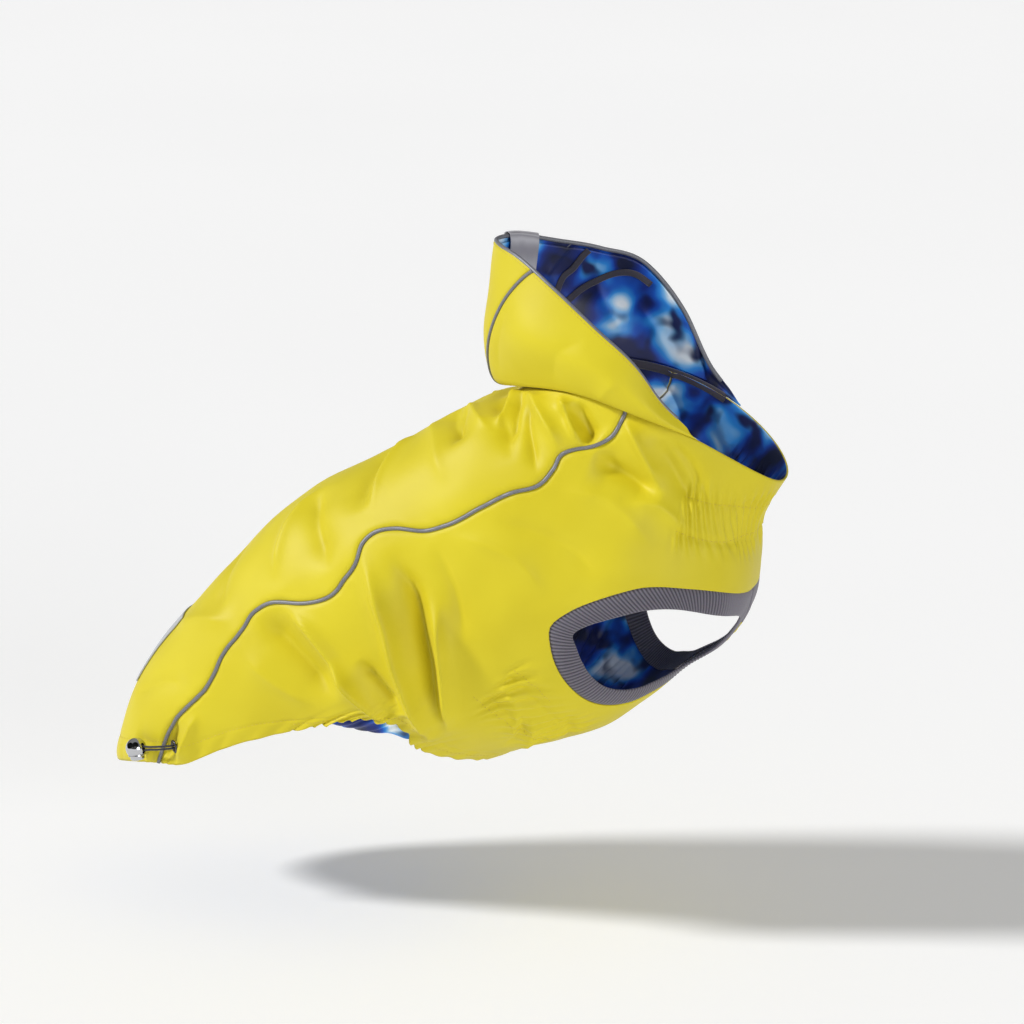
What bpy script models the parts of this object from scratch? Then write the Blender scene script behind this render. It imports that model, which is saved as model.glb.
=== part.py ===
"""A dog raincoat with a turned-down hood, in its worn shape and empty.

Metres, +Z up. +X runs from the tail hem to the chest and +Y to the garment's left side. The
origin is on the wearer's withers, just under the back panel. The body cloth is a tube of rings
from the hem (ring 0) to the neck (ring 11). An angle of 0 degrees is the centre back, 180 is
the belly, and the right side has positive angles.
"""

import math
from collections import namedtuple

import bmesh
import bpy
import numpy as np
from mathutils import Matrix, Vector

MM = 0.001
SEAM_GAP = 0.3 * MM
CLOTH = 1.8 * MM
HOOD_CLOTH = 1.5 * MM
LINING = 1.0 * MM
RIGHT, LEFT = 1, -1
AROUND_LINES, ALONG_LINES = 0, 1  # the axis of a panel's grid that stays fixed on such a line
SIDES = ((RIGHT, "right"), (LEFT, "left"))

# The body's rings, in millimetres. Each runs from its centre-back point to its belly point.
Ring = namedtuple("Ring", "back_x back_z belly_x belly_z half_width square side_lift")
RINGS = (
    Ring(-263, -259, -26, -246, 68, 2.3, 10),
    Ring(-249, -218, 0, -239, 76, 2.3, 16),
    Ring(-230, -181, 26, -230, 82, 2.3, 11),
    Ring(-198, -143, 56, -219, 88, 2.4, 4),
    Ring(-162, -102, 85, -208, 92, 2.4, 0),
    Ring(-120, -65, 110, -189, 94, 2.5, 0),
    Ring(-76, -41, 135, -166, 93, 2.5, 0),
    Ring(-44, -22, 158, -150, 90, 2.6, 2),
    Ring(-18, -6, 173, -128, 85, 2.7, 6),
    Ring(0, 2, 178, -99, 77, 2.6, 14),
    Ring(13, 4, 180, -69, 69, 2.5, 22),
    Ring(26, 12, 196, -41, 62, 2.3, 26),
)
NECK = len(RINGS) - 1

# Where the hem cuts the rings: low at the tail and the belly, arched over each thigh.
HemPoint = namedtuple("HemPoint", "degrees ring")
HEM = (
    HemPoint(0, 0.0), HemPoint(40, 0.08), HemPoint(56, 0.09), HemPoint(68, 0.13),
    HemPoint(75, 0.35), HemPoint(83, 0.63), HemPoint(91, 0.92), HemPoint(96, 1.20),
    HemPoint(100, 1.62), HemPoint(103, 2.10), HemPoint(106, 2.34), HemPoint(112, 2.40),
    HemPoint(117, 2.33), HemPoint(121, 2.02), HemPoint(127, 1.64), HemPoint(134, 1.40),
    HemPoint(143, 1.32), HemPoint(156, 1.24), HemPoint(180, 1.15),
)

# The wavy piped seam between the back panel and each side panel.
SeamPoint = namedtuple("SeamPoint", "ring degrees")
SEAM = (
    SeamPoint(0.0, 55.5), SeamPoint(0.6, 55.3), SeamPoint(1.0, 57), SeamPoint(1.4, 59),
    SeamPoint(1.9, 59.6), SeamPoint(2.3, 57.3), SeamPoint(2.75, 53.5), SeamPoint(3.2, 51.8),
    SeamPoint(3.6, 50), SeamPoint(3.85, 52), SeamPoint(4.1, 59), SeamPoint(4.4, 63),
    SeamPoint(4.75, 62), SeamPoint(5.05, 60), SeamPoint(5.35, 55.3), SeamPoint(5.6, 54),
    SeamPoint(5.85, 56), SeamPoint(6.1, 61), SeamPoint(6.5, 63.8), SeamPoint(7.2, 65.5),
    SeamPoint(7.9, 69), SeamPoint(8.3, 73.5), SeamPoint(8.8, 75.3), SeamPoint(9.3, 75.8),
    SeamPoint(9.55, 79.3), SeamPoint(9.8, 84.8), SeamPoint(10.2, 89.6), SeamPoint(10.6, 89.4),
    SeamPoint(11.0, 87.5),
)

# The armhole, from its rear corner along the top to the chest, down the strap and back. The
# edge is where the rib band is sewn on, and the free edge is the band's own.
Armhole = namedtuple("Armhole", "edge_ring edge_degrees free_ring free_degrees")
ARMHOLE = (
    Armhole(6.00, 109.5, 6.10, 115.5), Armhole(6.38, 108.5, 6.40, 115.4),
    Armhole(6.80, 109.2, 6.76, 117), Armhole(7.18, 111.5, 7.07, 119.3),
    Armhole(7.50, 114.3, 7.34, 122), Armhole(7.80, 118, 7.58, 125.8),
    Armhole(8.03, 122.8, 7.75, 130), Armhole(8.25, 130.5, 7.88, 135.5),
    Armhole(8.42, 139.5, 7.96, 142), Armhole(8.50, 148, 8.01, 149.5),
    Armhole(8.53, 158, 8.03, 158), Armhole(8.53, 169, 8.00, 165),
    Armhole(8.48, 179.7, 7.90, 170), Armhole(8.12, 179.7, 7.79, 171),
    Armhole(7.83, 179.6, 7.63, 171.2), Armhole(7.50, 176.5, 7.40, 171),
    Armhole(7.0, 176, 7.0, 170.5), Armhole(6.4, 176, 6.45, 169.5),
    Armhole(5.85, 175.8, 6.05, 166.5), Armhole(5.52, 171, 5.85, 162),
    Armhole(5.30, 163, 5.68, 157), Armhole(5.04, 155, 5.48, 151.5),
    Armhole(4.90, 147, 5.36, 145), Armhole(4.92, 138, 5.34, 138),
    Armhole(5.08, 129.5, 5.45, 131.3), Armhole(5.32, 122, 5.64, 125.3),
    Armhole(5.64, 115, 5.87, 119.8),
)
ARMHOLE_CENTRE = SeamPoint(6.6, 148)
CUTTER_POINTS = 90
CUTTER_SHARES = (0.25, 0.65, 1)  # rings of the cutter, as shares of the way out to the rim
CUTTER_REACH = 9 * MM
CUTTER_BELLY = (171, 175)  # degrees over which the cutter's rim turns past the belly
CUTTER_PAST_BELLY = 14  # degrees
RIB_COUNT = 90
RIB_RAISE = 0.5 * MM
RIB_WALL = 1.8 * MM
RIB_TUCK = 0.2 * MM  # how far the band's free edge turns in
SMOOTH_RIBS = (0.32, 0.56)  # the share of the band that is stretched flat, round the chest
# The chest strap's half width along its length, from the belly panel up to the chest.
StrapPoint = namedtuple("StrapPoint", "ring half_degrees")
STRAP = (
    StrapPoint(5.70, 3.6), StrapPoint(6.4, 3.6), StrapPoint(7.0, 3.5), StrapPoint(7.35, 3.0),
    StrapPoint(7.62, 1.2),
)

STRAP_CELLS = (6, 2)

# Soft ridges and troughs, each along a line between two places on the body.
Fold = namedtuple("Fold", "ring_a degrees_a ring_b degrees_b width_mm height_mm")
FOLDS = (
    Fold(10.3, 14, 8.4, 62, 10, -3.5), Fold(8.0, 18, 8.1, 40, 10, -2.5),
    Fold(6.3, 12, 5.6, 42, 14, -3), Fold(5.1, 26, 4.8, 56, 12, -3.5),
    Fold(10.7, 62, 9.9, 82, 10, -4), Fold(9.5, 88, 9.6, 112, 11, -4),
    Fold(10.6, 104, 9.9, 125, 10, -3), Fold(3.5, 60, 2.6, 91, 16, -6),
    Fold(3.9, 62, 4.0, 86, 11, 3), Fold(4.7, 76, 3.9, 93, 10, 3.5),
    Fold(3.9, 93, 2.7, 114, 10, 3.5), Fold(5.4, 68, 4.3, 92, 10, -4),
    Fold(4.3, 92, 3.1, 115, 10, -4), Fold(5.3, 82, 4.5, 96, 10, 3.5),
    Fold(4.5, 96, 2.9, 121, 10, 3.5),
)
LEFT_FOLD_SHIFT = 0.22  # rings: the left side's folds lie a little further forward
LEFT_FOLD_SCALE = 0.85
NECK_FADE = 0.9  # rings over which folds and gathers die out at the neck seam

# Gathers along stitched elastic: waves across a patch of the body.
Gather = namedtuple("Gather", "ring_a ring_b degrees_a degrees_b waves depth_mm")
GATHERS = (
    Gather(8.7, 10.5, 122, 156, 5, 1.4),
    Gather(2.7, 5.0, 113, 150, 5, 1.3),
    Gather(1.6, 3.0, 98, 119, 3, 1.8),
)
GATHER_CUTS = 3

PIPING_RADIUS = 1.5 * MM
PIPING_PROUD = 0.5 * MM
PANEL_CELLS = (26, 12)
SEAM_CLEARANCE = 0.9 * MM
PIPING_END = 0.992  # the share of the seam that the piping runs, short of the hood

# The hood at angles from the brow (0) to its front corners, in millimetres. It runs from the
# neck seam out to the roll, up over the swell, and on to its open edge. It leans to the right:
# its edge drops by `lean` there and rises by as much on the left.
HoodRow = namedtuple(
    "HoodRow",
    "degrees roll_x roll_y roll_z swell_x swell_y swell_z edge_x edge_y edge_z lean",
)
HOOD = (
    HoodRow(0, 6, 0, 17, -1, 0, 48, 4, 0, 103, 0),
    HoodRow(20, 9, 22, 18, 4, 26, 50, 11, 21, 102.5, 0),
    HoodRow(45, 30, 42, 22, 24, 50, 54, 33, 42, 96.5, 0.5),
    HoodRow(65, 53, 55, 23, 46, 64, 54, 58, 57, 86, 5),
    HoodRow(85, 86, 67, 19, 80, 73, 46, 88, 66, 69, 10.5),
    HoodRow(100, 112, 70, 11, 110, 74, 28, 113, 68, 44, 6),
    HoodRow(112, 137, 66, 1, 134, 69, 7, 133, 65, 14, 1),
    HoodRow(119, 152, 59, -6, 149, 61, -3, 147, 61, 0, 0),
)
HOOD_END = HOOD[-1].degrees
HOOD_SEAM = ((0.0, 16), (1.0, 18), (2.0, 30), (3.0, 52))  # place up the hood, degrees
HOOD_CELLS, HOOD_CENTRE_CELLS, HOOD_SIDE_CELLS, HOOD_LINING_CELLS = 11, 10, 12, 20
HOOD_EDGE = 3
HOOD_LINING_START = 0.9
HOOD_LINING_END = 2.94
HOOD_LINING_DEGREES = 108
HOOD_PIPING_RADIUS = 1.3 * MM
HOOD_PIPING_SUNK = 0.2 * MM
BINDING_RADIUS = 1.7 * MM
BINDING_DEGREES = HOOD_END - 3
BINDING_POINTS = 42

LABEL_DEGREES = (-34, -12)
LABEL_WALL = 0.8 * MM
LABEL_OUTSIDE = (2.82, 2.93)  # places up the hood on the tab's outer leg
LABEL_INSIDE = (2.9, 2.6, 2.25)
PATCH_RINGS = (1.45, 2.75)
PATCH_HALF_DEGREES = 20
PATCH_WALL = 0.9 * MM
PATCH_CELLS = (6, 5)

# How far the gathered lining hangs below the hem.
SagPoint = namedtuple("SagPoint", "degrees ring")
SAG = (
    SagPoint(98, 1.55), SagPoint(104, 1.42), SagPoint(110, 1.40), SagPoint(116, 1.46),
    SagPoint(121, 1.62), SagPoint(126, 1.74),
)
SAG_INSIDE = 0.22  # rings of lining above the hem, inside the cloth
HEM_LINING_CELLS = (3, 18)

LOCK_PLACE = SeamPoint(0.40, 47)
EYELET_PLACE = SeamPoint(0.44, 61)
LOCK_RADIUS = 7.0 * MM
LOCK_FLAT = 4.2 * MM
SLOT_WIDTH, SLOT_HEIGHT = 7.4 * MM, 2.6 * MM
BUTTON_RADIUS = 4.8 * MM
BUTTON_LENGTH = 3.4 * MM
EYELET_HOLE = 2.4 * MM
EYELET_RADIUS = 4.8 * MM
EYELET_WALL = 0.9 * MM
EYELET_SIDES = 20
CORD_RADIUS = 0.7 * MM
CORD_POINTS = 32
# One strand of the elastic, from the eyelet to the middle of its loop inside the lock, in
# millimetres: along towards the lock, across, and out from the cloth.
RoutePoint = namedtuple("RoutePoint", "along across out")
CORD_ROUTE = (
    RoutePoint(-0.2, 0.9, 0.5), RoutePoint(1.2, 0.9, 2.6), RoutePoint(5.0, 0.9, 4.6),
    RoutePoint(11.0, 0.95, 6.5), RoutePoint(18.0, 1.0, 7.3), RoutePoint(24.0, 1.6, 7.4),
    RoutePoint(28.5, 2.4, 7.4), RoutePoint(31.6, 1.9, 7.4), RoutePoint(33.0, 0.0, 7.4),
)

YELLOW = "coated yellow rainwear"
PIPING = "reflective grey piping"
RIB_KNIT = "grey rib knit"
LINING_PRINT = "blue printed lining"
TAPE = "grey label tape"
CHROME = "polished chrome"
ELASTIC = "black elastic"
Finish = namedtuple("Finish", "colour roughness metallic")
FINISHES = {
    YELLOW: Finish("#DFD155", 0.42, 0.0),
    PIPING: Finish("#77787F", 0.45, 0.0),
    RIB_KNIT: Finish("#6A6670", 0.85, 0.0),
    LINING_PRINT: Finish("#0B4FA8", 0.6, 0.0),
    TAPE: Finish("#A9A8AE", 0.7, 0.0),
    CHROME: Finish("#C9CBD0", 0.08, 1.0),
    ELASTIC: Finish("#24262B", 0.8, 0.0),
}


def clear_scene():
    for obj in list(bpy.data.objects):
        bpy.data.objects.remove(obj)


def new_collection(name):
    collection = bpy.data.collections.new(name)
    bpy.context.scene.collection.children.link(collection)
    return collection


def linear(value):
    return value / 12.92 if value <= 0.04045 else ((value + 0.055) / 1.055) ** 2.4


def material(name):
    """A Principled material from the named row of FINISHES."""
    found = bpy.data.materials.get(name)
    if found:
        return found
    colour, roughness, metallic = FINISHES[name]
    made = bpy.data.materials.new(name)
    made.use_nodes = True
    shader = made.node_tree.nodes["Principled BSDF"]
    channels = [linear(int(colour[i : i + 2], 16) / 255) for i in (1, 3, 5)]
    shader.inputs["Base Color"].default_value = (*channels, 1)
    shader.inputs["Roughness"].default_value = roughness
    shader.inputs["Metallic"].default_value = metallic
    return made


def smooth(x, knots, values):
    """The smooth curve through a table's values at rising knots."""
    knots = np.asarray(knots, float)
    values = np.asarray(values, float)
    x = np.asarray(x, float)
    slopes = np.gradient(values, knots, axis=0)
    i = np.clip(np.searchsorted(knots, x, side="right") - 1, 0, len(knots) - 2)
    width = knots[i + 1] - knots[i]
    t = (x - knots[i]) / width
    if values.ndim == 2:
        width, t = width[..., None], t[..., None]
    start = (1 + 2 * t) * (1 - t) ** 2 * values[i] + t * (1 - t) ** 2 * width * slopes[i]
    end = t * t * (3 - 2 * t) * values[i + 1] + t * t * (t - 1) * width * slopes[i + 1]
    return start + end


def unit(vectors):
    return vectors / np.linalg.norm(vectors, axis=-1, keepdims=True)


def ring_point(ring, degrees):
    """A place on the plain tube."""
    back_x, back_z, belly_x, belly_z, half_width, square, lift = np.moveaxis(
        smooth(ring, np.arange(len(RINGS)), np.array(RINGS, float)), -1, 0
    )
    angle = np.radians(degrees)
    towards_back, sideways = np.cos(angle), np.sin(angle)
    radius = (np.abs(towards_back) ** square + np.abs(sideways) ** square) ** (-1 / square)
    share = radius * towards_back / 2
    x = (back_x + belly_x) / 2 + share * (back_x - belly_x)
    z = (back_z + belly_z) / 2 + share * (back_z - belly_z) + lift * sideways**2
    y = -radius * sideways * half_width
    return np.stack([x, y, z], axis=-1) * MM


def ring_normal(ring, degrees, step=0.02):
    along = ring_point(ring + step, degrees) - ring_point(ring - step, degrees)
    around = ring_point(ring, degrees + step) - ring_point(ring, degrees - step)
    return unit(np.cross(around, along))


def window(x, low, high):
    """A bump that is 0 outside low..high and 1 over most of the middle."""
    share = np.clip((x - low) / (high - low), 0, 1)
    return np.clip(1.6 * np.sin(math.pi * share) ** 1.3, 0, 1)


def relief(ring, degrees, points):
    """How far the folds and gathers move each place out from the tube."""
    on_left = np.sin(np.radians(degrees)) < 0
    around = np.abs((degrees + 180) % 360 - 180)
    moved = np.zeros(np.shape(ring))
    for fold in FOLDS:
        for side, here in ((RIGHT, ~on_left), (LEFT, on_left)):
            shift = 0 if side == RIGHT else LEFT_FOLD_SHIFT
            scale = 1 if side == RIGHT else LEFT_FOLD_SCALE
            start = ring_point(min(fold.ring_a + shift, NECK), side * fold.degrees_a)
            end = ring_point(min(fold.ring_b + shift, NECK), side * fold.degrees_b)
            line = end - start
            share = np.clip((points - start) @ line / (line @ line), 0, 1)
            gap = np.linalg.norm(points - start - share[..., None] * line, axis=-1)
            bump = scale * fold.height_mm * MM * np.exp(-((gap / (fold.width_mm * MM)) ** 2))
            moved += np.where(here, bump, 0)
    for gather in GATHERS:
        across = (around - gather.degrees_a) / (gather.degrees_b - gather.degrees_a)
        wave = np.cos(2 * math.pi * gather.waves * across) - 0.4
        inside = window(ring, gather.ring_a, gather.ring_b)
        inside = inside * window(around, gather.degrees_a, gather.degrees_b)
        moved += 0.5 * gather.depth_mm * MM * wave * inside
    return moved * np.clip((NECK - ring) / NECK_FADE, 0, 1)


def cloth_point(ring, degrees, out=0.0):
    """A place on the body cloth's outer face, moved out by a distance."""
    ring, degrees = np.broadcast_arrays(np.asarray(ring, float), np.asarray(degrees, float))
    points = ring_point(ring, degrees)
    moved = relief(ring, degrees, points) + out
    return points + moved[..., None] * ring_normal(ring, degrees)


def hem_ring(degrees):
    rows = np.array(HEM, float)
    return smooth(np.abs(degrees), rows[:, 0], rows[:, 1])


def seam_degrees(ring):
    rows = np.array(SEAM, float)
    return smooth(ring, rows[:, 0], rows[:, 1])


def degrees_for(distance, ring, degrees):
    """The angle that a distance round the tube takes up."""
    step = ring_point(ring, degrees + 0.5) - ring_point(ring, degrees - 0.5)
    return distance / np.linalg.norm(step, axis=-1)


def hood_rows(degrees):
    """The hood's three curves at an angle, the right side's (-Y) at positive angles."""
    sides = []
    for side in (LEFT, RIGHT):
        rows = np.array(HOOD, float)
        rows[:, 0] *= side
        rows[:, [2, 5, 8]] *= -side
        rows[:, 6] -= side * rows[:, 10] / 2
        rows[:, 9] -= side * rows[:, 10]
        sides.append(rows[:, :10])
    rows = np.concatenate([sides[0][:0:-1], sides[1]])
    return smooth(degrees, rows[:, 0], rows[:, 1:])


def hood_point(place, degrees):
    """A place on the hood: 0 is the neck seam, 1 the roll, 2 the swell, HOOD_EDGE the open edge."""
    place, degrees = np.broadcast_arrays(np.asarray(place, float), np.asarray(degrees, float))
    values = hood_rows(degrees) * MM
    curves = [values[..., i : i + 3] for i in (0, 3, 6)]
    neck = ring_point(np.full(place.shape, float(NECK)), degrees)
    away = unit(curves[0] - neck)
    neck = neck + away * 4 * SEAM_GAP
    stops = np.stack([neck, *curves])
    slopes = np.gradient(stops, axis=0)
    i = np.clip(place.astype(int), 0, 2)
    t = (place - i)[..., None]
    low = i[None, ..., None]
    stop_a, stop_b, slope_a, slope_b = (
        np.take_along_axis(table, index, axis=0)[0]
        for table, index in ((stops, low), (stops, low + 1), (slopes, low), (slopes, low + 1))
    )
    start = (1 + 2 * t) * (1 - t) ** 2 * stop_a + t * (1 - t) ** 2 * slope_a
    end = t * t * (3 - 2 * t) * stop_b + t * t * (t - 1) * slope_b
    return start + end


def hood_normal(place, degrees, step=0.02):
    up = hood_point(np.clip(place + step, 0, HOOD_EDGE), degrees)
    up = up - hood_point(np.clip(place - step, 0, HOOD_EDGE), degrees)
    around = hood_point(place, degrees + step) - hood_point(place, degrees - step)
    return unit(np.cross(around, up))


def finish(mesh, name, surface, collection):
    mesh.name = name
    obj = bpy.data.objects.new(name, mesh)
    obj.data.materials.append(material(surface))
    obj.data.shade_smooth()
    collection.objects.link(obj)
    return obj


def refine(bm, fixed_axis, chosen, cuts):
    """Cuts the edges along which one axis stays fixed, where a function of their middles says."""
    ends = np.array([[vert.co[:2] for vert in edge.verts] for edge in bm.edges])
    on_line = np.abs(ends[:, 0, fixed_axis] - ends[:, 1, fixed_axis]) < 1e-6
    middles = ends.mean(axis=1)
    wanted = on_line & chosen(middles[:, 0], middles[:, 1])
    cut = [edge for edge, here in zip(bm.edges, wanted) if here]
    bmesh.ops.subdivide_edges(bm, edges=cut, cuts=cuts, use_grid_fill=True)


def sheet(name, surface, collection, cells, place, wall, finer=()):
    """A grid moved to its place by a function of (along, around) in 0..1, with a wall inwards."""
    bm = bmesh.new()
    bmesh.ops.create_grid(bm, x_segments=cells[0], y_segments=cells[1], size=0.5)
    for vert in bm.verts:
        vert.co += Vector((0.5, 0.5, 0))
    for fixed_axis, chosen, cuts in finer:
        refine(bm, fixed_axis, chosen, cuts)
    flat = np.array([vert.co[:2] for vert in bm.verts])
    for vert, point in zip(bm.verts, place(flat[:, 0], flat[:, 1])):
        vert.co = point
    bmesh.ops.triangulate(bm, faces=bm.faces)
    mesh = bpy.data.meshes.new(name)
    bm.to_mesh(mesh)
    bm.free()
    obj = finish(mesh, name, surface, collection)
    shell = obj.modifiers.new("wall", "SOLIDIFY")
    shell.thickness = wall
    shell.offset = -1
    return obj


def turned(obj):
    """The same sheet with its faces turned round."""
    obj.data.flip_normals()
    return obj


def loft(name, surface, collection, sections, closed):
    """A closed solid through equal sections, each a ring of points."""
    bm = bmesh.new()
    rings = [[bm.verts.new(point) for point in section] for section in sections]
    count = len(rings[0])
    pairs = list(zip(rings, rings[1:] + rings[:1])) if closed else list(zip(rings, rings[1:]))
    for first, second in pairs:
        for i in range(count):
            j = (i + 1) % count
            bm.faces.new((first[i], first[j], second[j], second[i]))
    if not closed:
        bm.faces.new(rings[0])
        bm.faces.new(rings[-1])
    bmesh.ops.recalc_face_normals(bm, faces=bm.faces)
    mesh = bpy.data.meshes.new(name)
    bm.to_mesh(mesh)
    bm.free()
    return finish(mesh, name, surface, collection)


def tube(name, surface, collection, points, radius, resolution=1):
    """A round cord through the points, with closed ends."""
    curve = bpy.data.curves.new(name, "CURVE")
    curve.dimensions = "3D"
    spline = curve.splines.new("POLY")
    spline.points.add(len(points) - 1)
    for stop, point in zip(spline.points, points):
        stop.co = (*point, 1)
    curve.bevel_depth = radius
    curve.bevel_resolution = resolution
    curve.use_fill_caps = True
    obj = bpy.data.objects.new(name, curve)
    curve.materials.append(material(surface))
    collection.objects.link(obj)
    return obj


def evenly(points, count):
    """The same line, with its points evenly spaced."""
    lengths = np.linalg.norm(np.diff(points, axis=0), axis=1)
    run = np.concatenate([[0], np.cumsum(lengths)])
    stops = np.linspace(0, run[-1], count)
    return np.stack([np.interp(stops, run, points[:, k]) for k in range(3)], axis=-1)


def body_place(side, start_degrees, end_degrees):
    """The function that spreads a panel between two lines of angles, and hem to neck."""

    def at(along, around):
        ring = along * NECK
        for _ in range(12):
            low, high = start_degrees(ring), end_degrees(ring)
            degrees = low + around * (high - low)
            hem = hem_ring(degrees)
            ring = hem + along * (NECK - hem)
        return ring, side * degrees

    return at


def gathered(at):
    """Whether a place on a panel lies in a patch of gathers."""

    def chosen(along, around):
        ring, degrees = at(along, around)
        degrees = np.abs(degrees)
        inside = np.zeros(ring.shape, bool)
        for g in GATHERS:
            rings = (ring > g.ring_a) & (ring < g.ring_b)
            inside |= rings & (degrees > g.degrees_a) & (degrees < g.degrees_b)
        return inside

    return chosen


def seam_clearance(ring, step=0.03):
    """The angle beside the seam that clears its piping, measured square to its waves."""
    distance = PIPING_RADIUS + SEAM_CLEARANCE
    middle = seam_degrees(ring)
    wave = ring_point(ring + step, seam_degrees(ring + step))
    wave = wave - ring_point(ring - step, seam_degrees(ring - step))
    around = unit(ring_point(ring, middle + 0.5) - ring_point(ring, middle - 0.5))
    sideways = np.sum(unit(wave) * around, axis=-1)
    return degrees_for(distance / np.sqrt(1 - sideways**2), ring, middle)


def at_seam(along, around):
    """Whether an edge lies on a panel's piped seam."""
    return around < 1e-6


def at_either_seam(along, around):
    return (around < 1e-6) | (around > 1 - 1e-6)


def make_back_panel(collection):
    def right_edge(ring):
        return seam_degrees(ring) - seam_clearance(ring)

    def left_edge(ring):
        return -right_edge(ring)

    at = body_place(RIGHT, left_edge, right_edge)

    def place(along, around):
        return cloth_point(*at(along, around))

    finer = [(ALONG_LINES, at_either_seam, 1)]
    return turned(sheet("back_panel", YELLOW, collection, PANEL_CELLS, place, CLOTH, finer))


def make_side_panel(collection, cutters, side, side_name):
    def start(ring):
        return seam_degrees(ring) + seam_clearance(ring)

    def end(ring):
        belly = np.full(np.shape(ring), 180.0)
        return belly - degrees_for(SEAM_GAP / 2, ring, belly)

    at = body_place(side, start, end)

    def place(along, around):
        return cloth_point(*at(along, around))

    name = f"side_panel_{side_name}"
    finer = [(AROUND_LINES, gathered(at), GATHER_CUTS), (ALONG_LINES, at_seam, 1)]
    panel = sheet(name, YELLOW, collection, PANEL_CELLS, place, CLOTH, finer)
    if side == RIGHT:
        turned(panel)
    cut_with(panel, make_armhole_cutter(cutters, side, side_name))
    return panel


def armhole_loop(count):
    """Edge and free-edge places at even steps round the armhole, as four columns."""
    rows = np.array(ARMHOLE, float)
    tiled = np.concatenate([rows, rows, rows])
    points = ring_point(tiled[:, 0], tiled[:, 1])
    run = np.concatenate([[0], np.cumsum(np.linalg.norm(np.diff(points, axis=0), axis=1))])
    low, high = run[len(rows)], run[2 * len(rows)]
    stops = low + (high - low) * np.arange(count) / count
    return smooth(stops, run, tiled)


def hide_cutter(cutter):
    cutter.hide_render = True
    cutter.display_type = "WIRE"
    return cutter


def cut_with(obj, cutter):
    cut = obj.modifiers.new(cutter.name, "BOOLEAN")
    cut.operation = "DIFFERENCE"
    cut.solver = "EXACT"
    cut.object = cutter


def make_armhole_cutter(cutters, side, side_name):
    """A thick patch over the armhole, which runs on past the belly's centre line."""
    loop = armhole_loop(CUTTER_POINTS)
    near_belly = np.clip((loop[:, 1] - CUTTER_BELLY[0]) / (CUTTER_BELLY[1] - CUTTER_BELLY[0]), 0, 1)
    rim = np.stack([loop[:, 0], loop[:, 1] + CUTTER_PAST_BELLY * near_belly**2], axis=-1)
    centre = np.array(ARMHOLE_CENTRE, float)
    outer = [(share, CUTTER_REACH) for share in CUTTER_SHARES]
    inner = [(share, -CUTTER_REACH) for share in CUTTER_SHARES[::-1]]
    sections = []
    for share, out in outer + inner:
        places = centre + (rim - centre) * share
        flat = ring_point(places[:, 0], side * places[:, 1])
        sections.append(flat + out * ring_normal(places[:, 0], side * places[:, 1]))
    name = f"armhole_cutter_{side_name}"
    return hide_cutter(loft(name, RIB_KNIT, cutters, sections, False))


def make_armhole_rib(collection, side, side_name):
    count = 2 * RIB_COUNT
    loop = armhole_loop(count)
    edge = cloth_point(loop[:, 0], side * loop[:, 1])
    free = cloth_point(loop[:, 2], side * loop[:, 3])
    normal = ring_normal(loop[:, 0], side * loop[:, 1])
    free_normal = ring_normal(loop[:, 2], side * loop[:, 3])
    across = unit(free - edge)
    share = np.arange(count) / count
    flat = (share > SMOOTH_RIBS[0]) & (share < SMOOTH_RIBS[1])
    raised = np.where((np.arange(count) % 2 == 0) & ~flat, RIB_RAISE, 0)[:, None]
    top = edge + across * SEAM_GAP
    outer_top = top + raised * normal
    outer_free = free + (raised - RIB_TUCK) * free_normal
    inner_free = free - RIB_WALL * free_normal
    inner_top = top - RIB_WALL * normal
    sections = np.stack([outer_top, outer_free, inner_free, inner_top], axis=1)
    return loft(f"armhole_rib_{side_name}", RIB_KNIT, collection, sections, True)


def make_chest_strap(collection):
    rows = np.array(STRAP, float)

    def place(along, around):
        ring = rows[0, 0] + along * (rows[-1, 0] - rows[0, 0])
        return cloth_point(ring, 180 + smooth(ring, rows[:, 0], rows[:, 1]) * (2 * around - 1))

    return turned(sheet("chest_strap", YELLOW, collection, STRAP_CELLS, place, CLOTH))


def make_body_piping(collection, side, side_name):
    at = body_place(side, seam_degrees, seam_degrees)
    along = np.linspace(0, 1, 2 * PANEL_CELLS[0] + 1)
    along[-1] = PIPING_END
    ring, degrees = at(along, 0.5)
    points = cloth_point(ring, degrees, PIPING_PROUD - PIPING_RADIUS)
    return tube(f"body_piping_{side_name}", PIPING, collection, points, PIPING_RADIUS)


def hood_seam_degrees(place):
    rows = np.array(HOOD_SEAM, float)
    return smooth(place, rows[:, 0], rows[:, 1])


def hood_gap(place, degrees, distance):
    step = hood_point(place, degrees + 0.5) - hood_point(place, degrees - 0.5)
    return distance / np.linalg.norm(step, axis=-1)


def make_hood_panels(collection):
    half_gap = HOOD_PIPING_RADIUS + SEAM_CLEARANCE

    def centre(along, around):
        place = along * HOOD_EDGE
        edge = hood_seam_degrees(place)
        edge = edge - hood_gap(place, edge, half_gap)
        return hood_point(place, (2 * around - 1) * edge)

    cells = (HOOD_CELLS, HOOD_CENTRE_CELLS)
    made = [turned(sheet("hood_centre_panel", YELLOW, collection, cells, centre, HOOD_CLOTH))]
    cells = (HOOD_CELLS, HOOD_SIDE_CELLS)
    for side, side_name in SIDES:

        def flank(along, around, side=side):
            place = along * HOOD_EDGE
            edge = hood_seam_degrees(place)
            edge = edge + hood_gap(place, edge, half_gap)
            return hood_point(place, side * (edge + around * (HOOD_END - edge)))

        panel = sheet(f"hood_side_{side_name}", YELLOW, collection, cells, flank, HOOD_CLOTH)
        made.append(turned(panel) if side == RIGHT else panel)
    return made


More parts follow.
